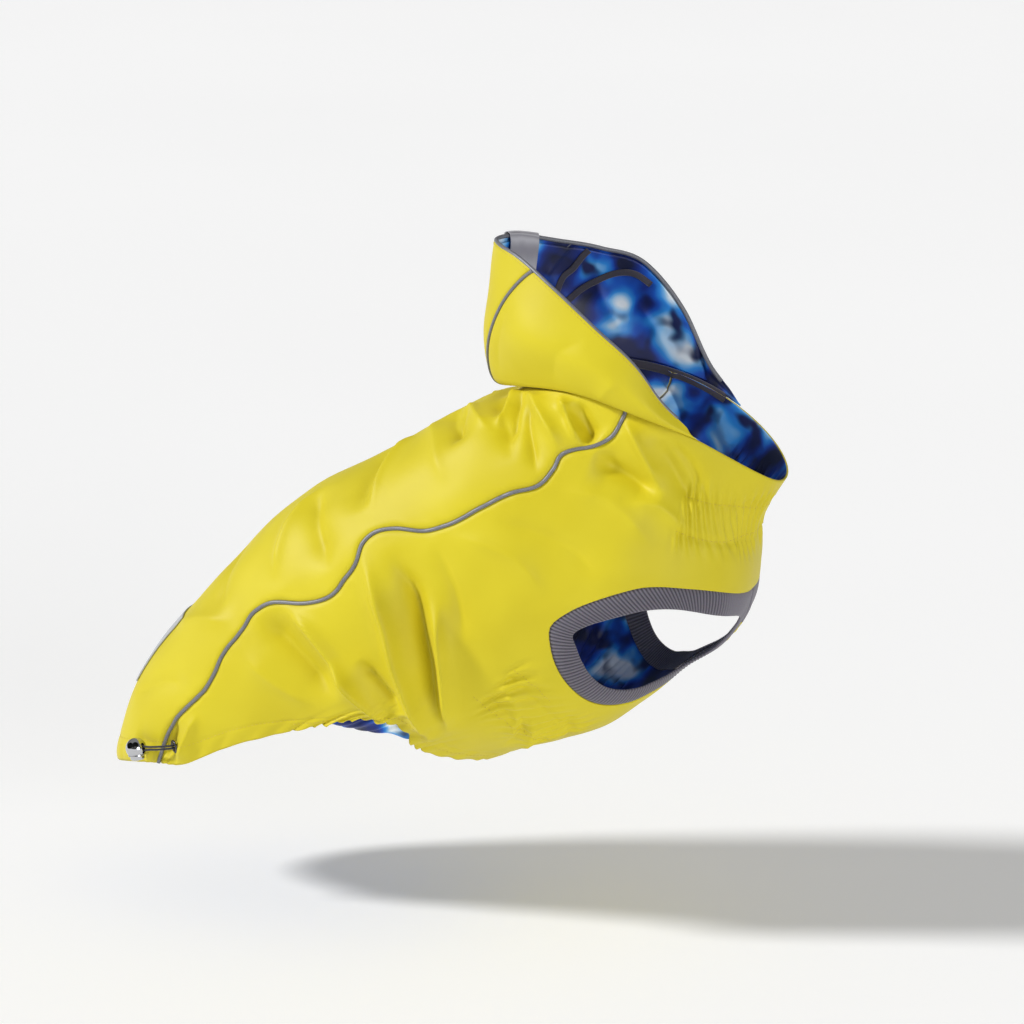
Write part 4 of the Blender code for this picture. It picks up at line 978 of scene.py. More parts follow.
def rib_knit():
    """Cotton and elastane rib: matt grey, with painted shade between the ribs and painted light on
    each crest.
    """
    made, tree, shader = new_material(
        "cotton_elastane_rib_knit", Roughness=0.85, Sheen_Weight=0.25, Specular_IOR_Level=0.3
    )
    rib = add_node(tree, "Attribute", {"attribute_name": "rib"}).outputs["Fac"]
    place = add_node(tree, "TexCoord").outputs["Object"]
    # Painted shade from the rib attribute: dark between the ribs, lighter on each crest.
    painted_rib_shade = add_node(
        tree, "ValToRGB", inputs={"Fac": rib},
        stops=[(0.0, "#45424C"), (0.55, "#66626D"), (1.0, "#7C7883")],
    )
    # The knit's stitches are 0.9 mm.
    knit = add_node(
        tree, "TexNoise", inputs={"Vector": place, "Scale": per(0.9), "Detail": 2.0}
    )
    add_node(
        tree, "MixRGB", {"blend_type": "MULTIPLY"},
        {"Fac": 0.35, "Color1": painted_rib_shade.outputs["Color"], "Color2": knit.outputs["Color"]},
        to=shader.inputs["Base Color"],
    )
    add_node(
        tree, "Bump",
        inputs={"Height": knit.outputs["Fac"], "Strength": 0.6, "Distance": 0.25 * MM},
        to=shader.inputs["Normal"],
    )
    return made


def bead_tape(name, painted_glint, painted_shade, roughness):
    """Glass-bead reflective tape: flat grey, each fine bead with a painted glint and painted shade
    round it.
    """
    # The beads are 0.06 mm, drawn at 0.5 mm so that they show.
    return patterned(
        name, "TexVoronoi", "Distance", {"Scale": per(0.5)}, [(0.1, painted_glint), (0.7, painted_shade)],
        (0.35, 0.1), {"feature": "F1"},
        Roughness=roughness, Metallic=0.15, Specular_IOR_Level=0.6,
    )


def woven_tape():
    """Satin-edged woven label tape: grey, with close cross ribs and painted shade between them."""
    # The weft is 0.35 mm apart, drawn at 0.8 mm so that it shows.
    return patterned(
        "woven_polyester_label_tape", "TexWave", "Fac",
        {"Scale": per(0.8) / 20, "Distortion": 0.6, "Detail Scale": 4.0},
        [(0.0, "#918F96"), (1.0, "#B4B3B9")], (0.5, 0.15), {"bands_direction": "X"}, "UV",
        Roughness=0.6, Sheen_Weight=0.2, Specular_IOR_Level=0.4,
    )


def polished_metal(name, colour, roughness):
    """Plated zinc or brass: a mirror, broken only by fine wear."""
    made, tree, shader = new_material(
        name, Base_Color=srgb(colour), Metallic=1.0, Roughness=roughness
    )
    place = add_node(tree, "TexCoord").outputs["Object"]
    wear = add_node(tree, "TexNoise", inputs={"Vector": place, "Scale": per(2.5), "Detail": 4.0})
    add_node(
        tree, "MapRange",
        inputs={"Value": wear.outputs["Fac"], 3: roughness * 0.7, 4: roughness * 1.5},
        to=shader.inputs["Roughness"],
    )
    return made


def braided_elastic():
    """Black braided elastic: matt, with the braid's close diagonal ridges and painted shade between
    them.
    """
    return patterned(
        "black_braided_elastic", "TexVoronoi", "Distance", {"Scale": per(0.55)},
        [(0.0, "#34363D"), (0.7, "#141519")], (0.8, 0.2),
        Roughness=0.7, Sheen_Weight=0.3, Specular_IOR_Level=0.35,
    )


def sewing_thread():
    """Twisted polyester thread, a shade deeper than the cloth."""
    return patterned(
        "yellow_polyester_thread", "TexNoise", "Fac", {"Scale": per(0.4)},
        [(0.3, "#B79F1C"), (0.7, "#D2BE33")], Roughness=0.6, Sheen_Weight=0.2,
    )


def painted_lock_shade():
    """Painted shade for the walls of the lock's slot and windows: near black and matt."""
    return patterned(
        "lock_openings_painted_dark", "TexNoise", "Fac", {"Scale": per(0.8)},
        [(0.3, "#0C0D0F"), (0.7, "#1A1B1E")], Roughness=0.5,
    )


def mesh_object(bm, name, surfaces):
    """A bmesh as a piece of the scene, shaded smooth."""
    mesh = bpy.data.meshes.new(name)
    bm.to_mesh(mesh)
    bm.free()
    for surface in surfaces:
        mesh.materials.append(surface)
    mesh.shade_smooth()
    obj = bpy.data.objects.new(name, mesh)
    bpy.context.scene.collection.objects.link(obj)
    return obj


def dress(obj, slot, *nodes):
    """The piece rides on the coat and stands for CAD nodes, which are hidden. slot is not used."""
    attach(obj, "root")
    if nodes:
        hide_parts(*nodes)
    return obj


def cut_away(obj, cutter, use_self=False):
    """Cuts one piece out of another, and applies the modifiers of what is left."""
    cut = obj.modifiers.new("cut", "BOOLEAN")
    cut.operation = "DIFFERENCE"
    cut.solver = "EXACT"
    cut.use_self = use_self
    cut.object = cutter
    bpy.context.view_layer.update()
    evaluated = obj.evaluated_get(bpy.context.evaluated_depsgraph_get())
    obj.data = bpy.data.meshes.new_from_object(evaluated)
    obj.modifiers.clear()
    bpy.data.objects.remove(cutter)


def sheet(name, cells, place, wall, surfaces, turned=False, lined=False, uv_size=None,
          facing=None):
    """A grid moved to its place by a function of (along, around) in 0..1, with a wall inwards.

    Where it is lined, the wall's inner face takes the next surface. facing says which faces have
    the cloth itself inside, as a turned-up hem has.
    """
    bm = bmesh.new()
    bmesh.ops.create_grid(bm, x_segments=cells[0], y_segments=cells[1], size=0.5)
    flat = np.array([vert.co[:2] for vert in bm.verts]) + 0.5
    if uv_size:
        layer = bm.loops.layers.uv.new("UVMap")
        for face in bm.faces:
            for loop in face.loops:
                u, v = loop.vert.co[0] + 0.5, loop.vert.co[1] + 0.5
                loop[layer].uv = (u * uv_size[0], v * uv_size[1])
    if facing:
        middles = np.array([face.calc_center_median()[:2] for face in bm.faces]) + 0.5
        for face, doubled in zip(bm.faces, facing(middles[:, 0], middles[:, 1])):
            face.material_index = 2 if doubled else 0
    for vert, point in zip(bm.verts, place(flat[:, 0], flat[:, 1])):
        vert.co = point
    if turned:
        bmesh.ops.reverse_faces(bm, faces=bm.faces)
    bmesh.ops.triangulate(bm, faces=bm.faces, quad_method="SHORT_EDGE")
    obj = mesh_object(bm, name, surfaces)
    shell = obj.modifiers.new("wall", "SOLIDIFY")
    shell.thickness = wall
    shell.offset = -1
    shell.material_offset = 1 if lined else 0
    shell.material_offset_rim = 1 if lined == "rim too" else 0
    return obj


def band(name, cells, place, surface, attribute):
    """A closed band: a grid whose two directions both come round to where they start."""
    bm = bmesh.new()
    bmesh.ops.create_grid(bm, x_segments=cells[0], y_segments=cells[1], size=0.5)
    flat = np.array([vert.co[:2] for vert in bm.verts]) + 0.5
    points, values = place(flat[:, 0], flat[:, 1])
    layer = bm.verts.layers.float.new(attribute)
    for vert, point, value in zip(bm.verts, points, values):
        vert.co = point
        vert[layer] = value
    bmesh.ops.remove_doubles(bm, verts=bm.verts, dist=1e-7)
    bmesh.ops.recalc_face_normals(bm, faces=bm.faces)
    return mesh_object(bm, name, [surface])


def round_line(name, points, radius, surface, resolution=5):
    """A round cord or piping along a line, with closed ends."""
    curve = bpy.data.curves.new(name, "CURVE")
    curve.dimensions = "3D"
    spline = curve.splines.new("POLY")
    spline.points.add(len(points) - 1)
    for stop, point in zip(spline.points, points):
        stop.co = (*point, 1)
    spline.use_smooth = True
    curve.bevel_depth = radius
    curve.bevel_resolution = resolution
    curve.use_fill_caps = True
    curve.materials.append(surface)
    obj = bpy.data.objects.new(name, curve)
    bpy.context.scene.collection.objects.link(obj)
    return obj


def spun(name, profile, placed, surfaces, steps=56):
    """A piece turned from a profile of (radius, height) about its Y axis, put in its place."""
    bm = bmesh.new()
    verts = [bm.verts.new((radius, height, 0)) for radius, height in profile]
    edges = [bm.edges.new(pair) for pair in zip(verts, verts[1:])]
    bmesh.ops.spin(
        bm, geom=verts + edges, cent=(0, 0, 0), axis=(0, 1, 0), angle=2 * math.pi, steps=steps,
        use_merge=True,
    )
    bmesh.ops.remove_doubles(bm, verts=bm.verts, dist=1e-6)
    bmesh.ops.recalc_face_normals(bm, faces=bm.faces)
    bmesh.ops.transform(bm, matrix=placed, verts=bm.verts)
    return mesh_object(bm, name, surfaces)


def stitch_row(name, rows, surface, pitch=3.0 * MM, length=2.1 * MM, width=0.5 * MM):
    """Rows of stitches as one piece. Each row is a line's points and its surface's normals."""
    one = bmesh.new()
    bmesh.ops.create_uvsphere(one, u_segments=6, v_segments=4, radius=1)
    stitch = bpy.data.meshes.new("stitch")
    one.to_mesh(stitch)
    one.free()
    bm = bmesh.new()
    for points, normals in rows:
        run = run_along(points)
        middles = np.arange(pitch / 2, run[-1], pitch)
        at, ahead = (line_at(points, run, middles + more) for more in (0, 0.5 * MM))
        for centre, onward, normal in zip(at, ahead, line_at(normals, run, middles)):
            line = Vector(onward) - Vector(centre)
            if line.length < 1e-9:
                continue
            line.normalize()
            up = Vector(normal)
            up = (up - up.dot(line) * line).normalized()
            across = up.cross(line)
            turn = Matrix((line * length / 2, across * width / 2, up * width * 0.4)).transposed()
            placed = stitch.copy()
            placed.transform(Matrix.Translation(centre) @ turn.to_4x4())
            bm.from_mesh(placed)
            bpy.data.meshes.remove(placed)
    bpy.data.meshes.remove(stitch)
    return mesh_object(bm, name, [surface])


def body_row(ring, degrees):
    """A row of stitches through places on the body, just clear of the cloth."""
    return cloth_point(ring, degrees, STITCH_OUT), ring_normal(ring, degrees)


def make_body_cloth(name, node, cells, side, degrees_at, turned, yellow, lining):
    """A body panel with its hem turned up inside and its lining behind."""
    at = panel_place(side, degrees_at)

    def place(along, around):
        return cloth_point(*at(along, around))

    def turned_up(along, around):
        ring, degrees = at(along, around)
        return above_hem(ring, degrees) < HEM_DEPTH

    surfaces = [yellow, lining, yellow, yellow]
    made = sheet(name, cells, place, BODY_WALL, surfaces, turned, True, facing=turned_up)
    return dress(made, "yellow_cloth", node)


def make_back_cloth(yellow, lining):
    """The back panel, between the two wavy seams."""
    def degrees_at(ring, around):
        edge = seam_degrees(ring) - seam_angle(ring, PANEL_TUCK)
        return (2 * around - 1) * edge

    make_body_cloth(
        "back_cloth", "back_panel", BACK_CELLS, RIGHT, degrees_at, True, yellow, lining
    )


def make_side_cloth(side, side_name, yellow, lining):
    """A side panel, from the wavy seam to the belly's centre, with its armhole cut out."""
    def degrees_at(ring, around):
        """The seam's waves are lost towards the belly."""
        edge = seam_degrees(ring) + seam_angle(ring, PANEL_TUCK)
        calm = CALM_DEGREES + CALM_RISE * smoothstep((ring - CALM_FROM) / CALM_RINGS)
        return calm + around * (180 - calm) + (edge - calm) * (1 - around) ** 8

    name, node = f"side_cloth_{side_name}", f"side_panel_{side_name}"
    made = make_body_cloth(name, node, SIDE_CELLS, side, degrees_at, side == RIGHT, yellow, lining)
    cut_away(made, armhole_cutter(side))
    made.data.shade_smooth()


def armhole_cutter(side):
    """A thick patch over the armhole, which runs on past the belly's centre line."""
    loop = armhole_loop(CUTTER_POINTS)
    near_belly = np.clip((loop[:, 1] - CUTTER_BELLY[0]) / (CUTTER_BELLY[1] - CUTTER_BELLY[0]), 0, 1)
    rim = np.stack([loop[:, 0], loop[:, 1] + CUTTER_PAST_BELLY * near_belly**2], axis=-1)
    centre = np.array(ARMHOLE_CENTRE, float)
    shares = CUTTER_SHARES
    layers = [(share, CUTTER_REACH) for share in shares]
    layers += [(share, -CUTTER_REACH) for share in shares[::-1]]
    bm = bmesh.new()
    bmesh.ops.create_grid(bm, x_segments=CUTTER_POINTS, y_segments=len(layers) - 1, size=0.5)
    for vert in bm.verts:
        step = round((vert.co.x + 0.5) * CUTTER_POINTS) % CUTTER_POINTS
        share, out = layers[round((vert.co.y + 0.5) * (len(layers) - 1))]
        ring, degrees = centre + (rim[step] - centre) * share
        point = ring_point(ring, side * degrees)
        vert.co = point + out * ring_normal(ring, side * degrees)
    bmesh.ops.remove_doubles(bm, verts=bm.verts, dist=1e-7)
    bmesh.ops.holes_fill(bm, edges=bm.edges, sides=0)
    bmesh.ops.recalc_face_normals(bm, faces=bm.faces)
    return mesh_object(bm, "armhole_cutter", [])


def make_rib_band(side, side_name, surface):
    """A doubled strip of rib knit, folded at its free edge and sewn to the armhole."""
    steps = RIB_SAMPLES * FINE_RIBS
    loop = armhole_loop(steps)
    edge = cloth_point(loop[:, 0], side * loop[:, 1])
    free = cloth_point(loop[:, 2], side * loop[:, 3], fine=False)
    normal = ring_normal(loop[:, 0], side * loop[:, 1])
    free_normal = ring_normal(loop[:, 2], side * loop[:, 3])
    stops = np.arange(steps) / steps
    flat_start, flat_end = SMOOTH_RIBS
    ribbed = smoothstep((flat_start + 0.03 - stops) / 0.05) + smoothstep((stops - flat_end) / 0.03)
    rib = (0.5 + 0.5 * np.cos(2 * math.pi * stops * FINE_RIBS)) ** 0.8
    half = 0.5 * RIB_WALL

    def place(along, around):
        step = np.round(along * steps).astype(int) % steps
        turn = 2 * math.pi * around
        across = 0.5 - 0.5 * np.cos(turn)
        outward = np.sin(turn)
        width = np.linalg.norm(free[step] - edge[step], axis=-1)
        rounding = half / width
        share = across * (1 + rounding) - 0.5 * rounding
        middle = edge[step] + share[:, None] * (free[step] - edge[step])
        way = unit(normal[step] + share[:, None] * (free_normal[step] - normal[step]))
        rise = half * np.sign(outward) * np.abs(outward) ** 0.35
        pad = RIB_PAD * np.sin(math.pi * np.clip(share, 0, 1)) * (outward > 0)
        ridge = RIB_DEPTH * (rib[step] - 0.5) * ribbed[step] * np.abs(outward) ** 0.5
        lift = rise - half + pad + ridge * np.sign(outward)
        lift = lift - RIB_SEAM_DIP * np.exp(-((share * width / (1.2 * MM)) ** 2))
        # The rib attribute is painted shade: 0 between two ribs, 1 on a crest.
        shade = FLAT_RIB_SHADE - ribbed[step] * (FLAT_RIB_SHADE - rib[step])
        value = np.where(ribbed[step] > 0.02, shade, FLAT_RIB_SHADE)
        return middle + lift[:, None] * way, value

    made = band(f"rib_band_{side_name}", (steps, RIB_ROUND), place, surface, "rib")
    dress(made, "grey_rib", f"armhole_rib_{side_name}")


def make_strap(yellow, lining):
    """The narrow strip between the front legs."""
    start, end = STRAP[0].ring, STRAP[-1].ring

    def place(along, around):
        ring = start + along * (end - start)
        half = from_table(STRAP, ring)
        points = cloth_point(ring, 180 + half * (2 * around - 1), fine=False)
        bow = 0.5 * MM * np.sin(math.pi * around)
        ripple = 0.3 * MM * np.sin(along * 31 + 2 * np.sin(along * 7)) * np.sin(math.pi * around)
        return points + (bow + ripple)[:, None] * ring_normal(ring, np.full(ring.shape, 180.0))

    made = sheet("strap_cloth", (70, 14), place, 1.3 * MM, [yellow, lining], True, True)
    dress(made, "yellow_cloth", "chest_strap")


def make_seam_piping(side, side_name, surface):
    """The piping in a wavy seam, half sunk in the dip of the cloth."""
    start = hem_ring(seam_degrees(0))
    ring = start + (NECK - start) * np.linspace(0, PIPING_END, 420)
    degrees = side * seam_degrees(ring)
    points = cloth_point(ring, degrees, SEAM_DIP_MM * MM + FINE_PIPING_PROUD - FINE_PIPING_RADIUS)
    made = round_line(f"seam_piping_{side_name}", points, FINE_PIPING_RADIUS, surface)
    dress(made, "reflective_piping", f"body_piping_{side_name}")


def make_hood_cloth(yellow, lining):
    """The hood's centre panel and its two side panels."""
    def centre(along, around):
        place = along * HOOD_EDGE
        edge = hood_seam_degrees(place)
        edge = edge - degrees_for(PANEL_TUCK, place, edge, hood_point)
        return hood_cloth_point(place, (2 * around - 1) * edge)

    walls = HOOD_WALL, [yellow, lining]
    made = sheet("hood_centre_cloth", HOOD_CENTRE_FINE, centre, *walls, True, "rim too")
    dress(made, "yellow_cloth", "hood_centre_panel")
    for side, side_name in SIDES:

        def flank(along, around, side=side):
            place = along * HOOD_EDGE
            edge = hood_seam_degrees(place)
            edge = edge + degrees_for(PANEL_TUCK, place, edge, hood_point)
            return hood_cloth_point(place, side * (edge + around * (HOOD_END - edge)))

        name = f"hood_side_cloth_{side_name}"
        made = sheet(name, HOOD_SIDE_FINE, flank, *walls, side == RIGHT, "rim too")
        dress(made, "yellow_cloth", f"hood_side_{side_name}")


def hood_inside_point(place, degrees, inset):
    """A place on the hood's lining, with its own slack folds."""
    points = hood_point(place, degrees)
    moved = hood_creases_height(LINING_CREASES, points) * smoothstep((HOOD_EDGE - place) / 0.35)
    moved -= np.minimum(hood_relief(place, degrees, points), 0)
    inwards = (inset + moved)[..., None] * hood_normal(np.minimum(place, 2.9), degrees)
    return points - inwards + past_edge(place, degrees)


def make_hood_lining(surface):
    """The lining inside the hood, up to its edge."""
    def place(along, around):
        up = HOOD_LINING_START + along * (HOOD_LINING_END - HOOD_LINING_START)
        degrees = (2 * around - 1) * HOOD_LINING_DEGREES
        return hood_inside_point(up, degrees, HOOD_CLOTH + 2 * SEAM_GAP)

    made = sheet("hood_lining_cloth", (70, 200), place, LINING_WALL, [surface], True)
    dress(made, "blue_lining", "hood_lining")


def make_hood_tapes(surface):
    """Bias tape over the seams of the hood's lining."""
    inset = HOOD_CLOTH + 2 * SEAM_GAP + LINING_WALL + 0.5 * MM
    for number, line in enumerate(HOOD_TAPES):
        for side, side_name in SIDES:
            up, degrees = (line_places(line, TAPE_STEPS + 1) * (1, side)).T
            middle = hood_inside_point(up, degrees, inset)
            normal = hood_normal(up, degrees)
            sideways = unit(np.cross(np.gradient(middle, axis=0), normal))

            def place(along, around, middle=middle, sideways=sideways, normal=normal):
                step = np.round(along * TAPE_STEPS).astype(int)
                off = (around - 0.5) * HOOD_TAPE_WIDTH
                crown = TAPE_CROWN * (1 - (2 * around - 1) ** 2)
                return middle[step] + off[:, None] * sideways[step] - crown[:, None] * normal[step]

            name = f"hood_seam_tape_{number + 1}_{side_name}"
            made = sheet(name, (TAPE_STEPS, 6), place, TAPE_WALL, [surface], True)
            dress(made, "grey_rib")


def make_neck_tape(surface):
    """The same tape over the seam of neck and hood, inside."""
    def place(along, around):
        degrees = (2 * along - 1) * NECK_TAPE_DEGREES
        body = np.linalg.norm(ring_point(NECK, degrees) - ring_point(NECK - 0.1, degrees), axis=-1)
        hood = np.linalg.norm(hood_point(0.1, degrees) - hood_point(0, degrees), axis=-1)
        half = 0.5 * NECK_TAPE_WIDTH
        low = cloth_point(NECK - 0.1 * half / body, degrees, -BODY_WALL - NECK_TAPE_EDGE)
        high = hood_cloth_point(0.1 * half / hood, degrees, -HOOD_WALL - NECK_TAPE_EDGE)
        seam = cloth_point(NECK, degrees, -BODY_WALL - NECK_TAPE_CROWN)
        seam = 0.5 * (seam + hood_cloth_point(0.0, degrees, -HOOD_WALL - NECK_TAPE_CROWN))
        share = (2 * around - 1)[:, None]
        bend = 0.5 * share * (share - 1) * low + 0.5 * share * (share + 1) * high
        return bend + (1 - share**2) * seam

    made = sheet("neck_seam_tape", (240, 8), place, TAPE_WALL, [surface], True)
    dress(made, "grey_rib")


def make_hood_binding(surface):
    """The binding round the hood's open edge."""
    degrees = np.linspace(-BINDING_DEGREES, BINDING_DEGREES, 900)
    points = evenly(binding_line(degrees), 320)
    made = round_line("hood_binding_tape", points, FINE_BINDING_RADIUS, surface, 6)
    dress(made, "reflective_piping", "hood_binding")


def make_hood_piping(side, side_name, surface):
    """The piping in one of the hood's seams."""
    place = np.linspace(0.25, HOOD_EDGE, 160)
    degrees = side * hood_seam_degrees(place)
    points = hood_cloth_point(place, degrees, HOOD_SEAM_DIP_MM * MM - 0.6 * MM)
    made = round_line(f"hood_piping_line_{side_name}", points, FINE_HOOD_PIPING_RADIUS, surface)
    dress(made, "reflective_piping", f"hood_piping_{side_name}")


def make_label(surface):
    """A bare tape folded over the hood's edge: short outside, longer inside."""
    def stops(degrees):
        edge = binding_line(degrees)
        top = hood_point(HOOD_EDGE, degrees)
        rise = unit(top - hood_point(HOOD_EDGE - 0.1, degrees))
        normal = hood_normal(HOOD_EDGE - 0.05, degrees)
        clear = FINE_BINDING_RADIUS + 0.2 * MM + LABEL_WALL
        inside = HOOD_CLOTH + LINING + 4 * SEAM_GAP + LABEL_WALL
        rows = [hood_cloth_point(place, degrees, LABEL_WALL + 0.2 * MM) for place in LABEL_OUTSIDE]
        for angle in np.radians(range(0, 181, 30)):
            rows.append(edge + clear * (math.cos(angle) * normal + math.sin(angle) * rise))
        for place in LABEL_INSIDE:
            rows.append(hood_inside_point(np.full(degrees.shape, place), degrees, inside))
        return np.stack(rows)

    low, high = LABEL_DEGREES
    columns = 25
    table = stops(np.linspace(low, high, columns))
    rows = len(table)

    def place(along, around):
        column = np.round(around * (columns - 1)).astype(int)
        line = smooth(along * (rows - 1), np.arange(rows), table.reshape(rows, -1))
        return line.reshape(len(along), columns, 3)[np.arange(len(along)), column]

    made = sheet(
        "label_tape", (60, columns - 1), place, LABEL_WALL * 0.7, [surface], uv_size=(0.036, 0.018)
    )
    dress(made, "label_tape", "label_tab")


def make_hem_lining(side, side_name, surface):
    """The lining that shows below the elastic arch of the hem, gathered and puffed out."""
    start, end = SAG[0].degrees, SAG[-1].degrees

    def place(along, around):
        degrees = start - SAG_PAST + around * (end - start + 2 * SAG_PAST)
        low = from_table(SAG, np.clip(degrees, start, end)) - LINING_DROP * np.sin(math.pi * around)
        high = hem_ring(degrees) + SAG_INSIDE
        ring = low + along * (high - low)
        run = hem_run(degrees) / MM
        uneven = run + 1.5 * np.sin(run / 5.3) + 0.8 * np.sin(run / 2.9 + 1)
        gather = np.cos(2 * math.pi * uneven / LINING_PITCH_MM) * (0.4 + 0.6 * along)
        puff = LINING_PUFF_MM * np.sin(math.pi * np.clip(along * 1.05, 0, 1)) ** 0.8
        puff = puff - LINING_TURN_IN_MM * (1 - along) ** 3
        calm = smoothstep(np.minimum(around, 1 - around) / 0.16)
        moved = LINING_GATHER_MM * gather * calm + puff * (0.3 + 0.7 * calm) - LINING_INSET_MM
        out = -(CLOTH + 5 * SEAM_GAP) + moved * MM
        points = ring_point(ring, side * degrees)
        out = out + body_relief(ring, side * degrees, points)
        return points + out[:, None] * ring_normal(ring, side * degrees)

    made = sheet(
        f"hem_lining_cloth_{side_name}", (36, 150), place, 0.6 * MM, [surface], side == RIGHT
    )
    dress(made, "blue_lining", f"hem_lining_{side_name}")


def make_patch(surface):
    """The bare reflective patch above the tail's hem."""
    low, high = PATCH_RINGS

    def place(along, around):
        ring = low + along * (high - low)
        return cloth_point(ring, PATCH_HALF_DEGREES * (2 * around - 1), SEAM_GAP + PATCH_WALL)

    made = sheet("back_patch_tape", (60, 60), place, PATCH_WALL, [surface], True)
    dress(made, "reflective_tape", "back_patch")


def make_eyelet(surface):
    """The eyelet that the elastic comes out of, tilted towards the lock."""
    eyelet, _, along, _, _ = toggle_frame()
    out = ring_normal(EYELET_PLACE.ring, EYELET_PLACE.degrees)
    out = unit(out + math.tan(math.radians(EYELET_TILT)) * along)
    profile = [
        (MM * (EYELET_MIDDLE_MM + EYELET_RIM_MM * math.cos(turn)),
         MM * (EYELET_RISE_MM + EYELET_HALF_MM * math.sin(turn)))
        for turn in np.linspace(0, 2 * math.pi, 17)
    ]
    turn = Vector(out).to_track_quat("Y", "X").to_matrix().to_4x4()
    placed = Matrix.Translation(Vector(eyelet + out * 2 * SEAM_GAP)) @ turn
    dress(spun("eyelet_ring", profile, placed, [surface], 48), "chrome", "cord_eyelet")


def lock_profile():
    """The ball's outline, down to its lip and the bore that the button slides in."""
    turns = np.linspace(-math.pi / 2, math.asin(4.0 / 7.0), 26)
    ball = [(7 * math.cos(turn), 7 * math.sin(turn)) for turn in turns]
    return [(max(radius, 0) * MM, height * MM) for radius, height in (*ball, *LOCK_LIP_MM)]


def make_cord_lock(chrome, painted_shade):
    """A ball with a cord slot and twin windows, and a domed button under it."""
    _, lock, along, across, out = toggle_frame()
    placed = axes_matrix(lock + out * (LOCK_RADIUS + 2 * SEAM_GAP), along, across, out)
    ball = spun("lock_ball", lock_profile(), placed, [chrome, painted_shade])

    cutter = bmesh.new()
    slot = bmesh.ops.create_cube(cutter, size=1)["verts"]
    bmesh.ops.scale(cutter, verts=slot, vec=(4 * LOCK_RADIUS, SLOT_WIDTH, SLOT_HEIGHT))
    long_edges = [e for e in cutter.edges if abs(e.verts[0].co.x - e.verts[1].co.x) > 0.01]
    bmesh.ops.bevel(
        cutter, geom=long_edges, offset=SLOT_ROUND, offset_type="OFFSET", segments=6,
        affect="EDGES", profile=0.5, material=-1,
    )
    facing = Vector(WINDOW_WAY).normalized()
    beside_it = Vector(WINDOW_ACROSS)
    beside_it = (beside_it - beside_it.dot(facing) * facing).normalized()
    window = axes_matrix(placed.translation, beside_it, facing.cross(beside_it), facing)
    for side in (LEFT, RIGHT):
        shift = Matrix.Translation((side * WINDOW_SHIFT, 0, WINDOW_OUT))
        bmesh.ops.create_cone(
            cutter, cap_ends=True, segments=28, radius1=WINDOW_RADII[0], radius2=WINDOW_RADII[1],
            depth=WINDOW_DEPTH, matrix=placed.inverted() @ window @ shift,
        )
    bmesh.ops.transform(cutter, matrix=placed, verts=cutter.verts)
    holes = mesh_object(cutter, "lock_hole_cutter", [])
    cut_away(ball, holes, True)
    centre = placed.translation
    # The walls of the slot and windows take the near-black painted shade.
    for face in ball.data.polygons:
        away = (face.center - centre).length
        local = placed.inverted() @ face.center
        if away < LOCK_SHADE_RADIUS and local.y < LOCK_SHADE_HEIGHT:
            face.material_index = 1
    smooth_by_angle(ball, 35)
    dress(ball, "chrome", "cord_lock_body")

    profile = [(radius * MM, height * MM) for radius, height in BUTTON_MM]
    made = spun("lock_button", profile, placed, [chrome])
    smooth_by_angle(made, 40)
    dress(made, "chrome", "cord_lock_button")


def smooth_by_angle(obj, degrees):
    """Shades a piece smooth, but for the edges sharper than an angle."""
    obj.data.shade_smooth()
    bm = bmesh.new()
    bm.from_mesh(obj.data)
    for edge in bm.edges:
        if len(edge.link_faces) == 2 and edge.calc_face_angle() > math.radians(degrees):
            edge.smooth = False
    bm.to_mesh(obj.data)
    bm.free()


def make_elastic(surface):
    """The elastic's loop, as a round cord."""
    points = cord_line(64)
    made = round_line("elastic_loop", points, CORD_RADIUS, surface)
    dress(made, "black_elastic", "elastic_cord")


def make_stitching(thread):
    """Rows of stitches round the hem, along the elastic and round the hood's edge."""
    hem_rows, elastic_rows = [], []
    for side, _ in SIDES:
        for start, end, count, share in HEM_STITCHES:
            degrees = np.linspace(start, end, count)
            ring = hem_ring(degrees)
            ring = ring + share * HEM_DEPTH / above_hem(ring + 1, degrees)
            hem_rows.append(body_row(ring, side * degrees))
        for line in ELASTIC_ROWS:
            elastic_rows.append(body_row(*(line_places(line, 240) * (1, side)).T))
    dress(stitch_row("hem_stitches", hem_rows, thread), "yellow_cloth")
    made = stitch_row("elastic_stitches", elastic_rows, thread, 2.6 * MM, 1.9 * MM)
    dress(made, "yellow_cloth")
    degrees = np.linspace(-HOOD_STITCH_DEGREES, HOOD_STITCH_DEGREES, 700)
    step = hood_point(HOOD_EDGE, degrees) - hood_point(HOOD_EDGE - 0.1, degrees)
    place = HOOD_EDGE - 0.1 * HOOD_STITCH_IN / np.linalg.norm(step, axis=-1)
    rows = [(hood_cloth_point(place, degrees, STITCH_OUT), hood_normal(place, degrees))]
    dress(stitch_row("hood_edge_stitches", rows, thread), "yellow_cloth")


def make_floor():
    """The white floor under the coat."""
    made = patterned(
        "matt_white_backdrop", "TexNoise", "Fac", {"Scale": 0.8},
        [(0.3, "#F4F4F4"), (0.7, "#F6F6F6")],
        Roughness=0.9, Emission_Color=(1, 1, 1, 1), Emission_Strength=0.15,
    )
    bm = bmesh.new()
    bmesh.ops.create_grid(bm, x_segments=4, y_segments=4, size=30)
    bmesh.ops.translate(bm, verts=bm.verts, vec=(0, 0, FLOOR_HEIGHT))
    floor = mesh_object(bm, "backdrop", [made])


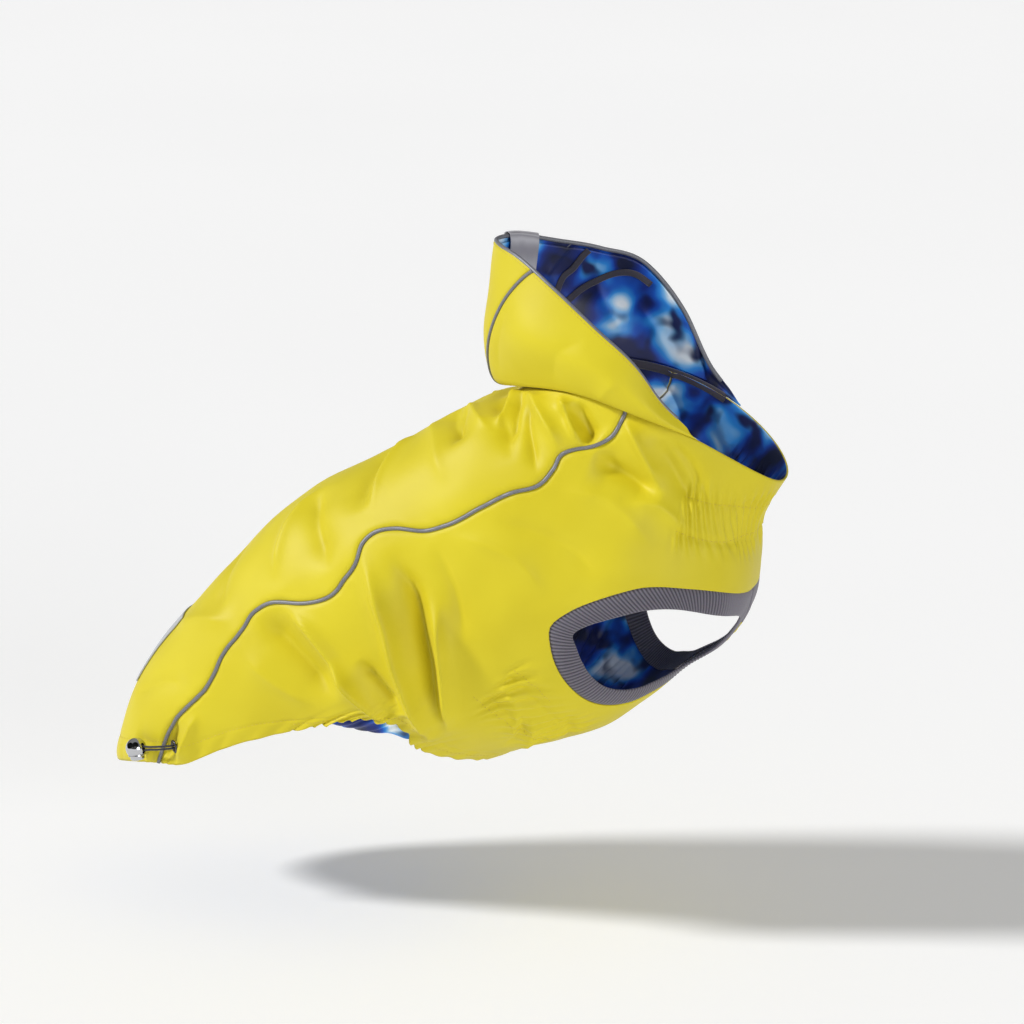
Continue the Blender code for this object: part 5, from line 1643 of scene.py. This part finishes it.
def make_camera():
    """The camera, on the side of the coat that has the lock."""
    turn, rise = math.radians(CAMERA_AZIMUTH), math.radians(CAMERA_ELEVATION)
    back = Vector(
        (math.sin(turn) * math.cos(rise), -math.cos(turn) * math.cos(rise), math.sin(rise))
    )
    data = bpy.data.cameras.new("camera")
    data.sensor_width = 36
    data.lens = 36 * CAMERA_DISTANCE / FRAME_WIDTH
    data.clip_end = 100
    camera = bpy.data.objects.new("camera", data)
    camera.location = Vector(CAMERA_TARGET) + CAMERA_DISTANCE * back
    camera.rotation_euler = back.to_track_quat("Z", "Y").to_euler()
    bpy.context.scene.collection.objects.link(camera)
    bpy.context.scene.camera = camera


def make_light():
    """A pale sky and two lamps."""
    scene = bpy.context.scene
    scene.view_settings.view_transform = "Standard"
    world = bpy.data.worlds.new("studio")
    scene.world = world
    world.use_nodes = True
    tree = world.node_tree
    background = tree.nodes["Background"]
    way = add_node(tree, "TexCoord").outputs["Generated"]
    height = add_node(tree, "SeparateXYZ", inputs={0: way}).outputs["Z"]
    # The low sky is as pale as the floor, so that no edge shows where the two meet.
    low, high = LOW_SKY_ENDS
    add_node(
        tree, "ValToRGB", inputs={"Fac": height},
        stops=[
            (low, "#FFFFFF"), (high, "#6E6E6E"), (0.2, "#6E6E6E"),
            (0.38, "#E8E8E8"), (0.8, "#FFFFFF"),
        ],
        to=background.inputs["Color"],
    )
    add_node(
        tree, "MapRange",
        inputs={"Value": height, "From Min": low, "From Max": high, "To Min": LOW_SKY_LIGHT,
                "To Max": WORLD_LIGHT},
        to=background.inputs["Strength"],
    )
    for name, way, power, spread in SUNS:
        data = bpy.data.lights.new(name, "SUN")
        data.energy = power
        data.angle = math.radians(spread)
        lamp = bpy.data.objects.new(name, data)
        lamp.rotation_euler = Vector(way).to_track_quat("Z", "Y").to_euler()
        scene.collection.objects.link(lamp)


def main():
    make_camera()
    make_light()
    make_elastic(braided_elastic())
    yellow, lining, rib = coated_rainwear(), printed_lining(), rib_knit()
    hem_print = printed_lining("tie_dye_printed_hem_polyester", HEM_PRINT_MOVED_MM, 0.06)
    piping = bead_tape("reflective_piping_tape", "#85868D", "#686970", 0.42)
    silver = bead_tape("silver_reflective_tape", "#C6C8CB", "#A7A9AE", 0.34)
    chrome = polished_metal("chrome_plated_zinc", "#C3C4C8", 0.06)
    gunmetal = polished_metal("gunmetal_plated_brass", "#55545A", 0.24)
    thread = sewing_thread()
    make_back_cloth(yellow, lining)
    for side, side_name in SIDES:
        make_side_cloth(side, side_name, yellow, lining)
        make_rib_band(side, side_name, rib)
        make_seam_piping(side, side_name, piping)
        make_hood_piping(side, side_name, piping)
        make_hem_lining(side, side_name, hem_print)
    make_strap(yellow, lining)
    make_hood_cloth(yellow, lining)
    make_hood_lining(lining)
    make_hood_tapes(rib)
    make_neck_tape(rib)
    make_hood_binding(piping)
    make_label(woven_tape())
    make_patch(silver)
    make_eyelet(gunmetal)
    make_cord_lock(chrome, painted_lock_shade())
    make_stitching(thread)
    make_floor()


main()
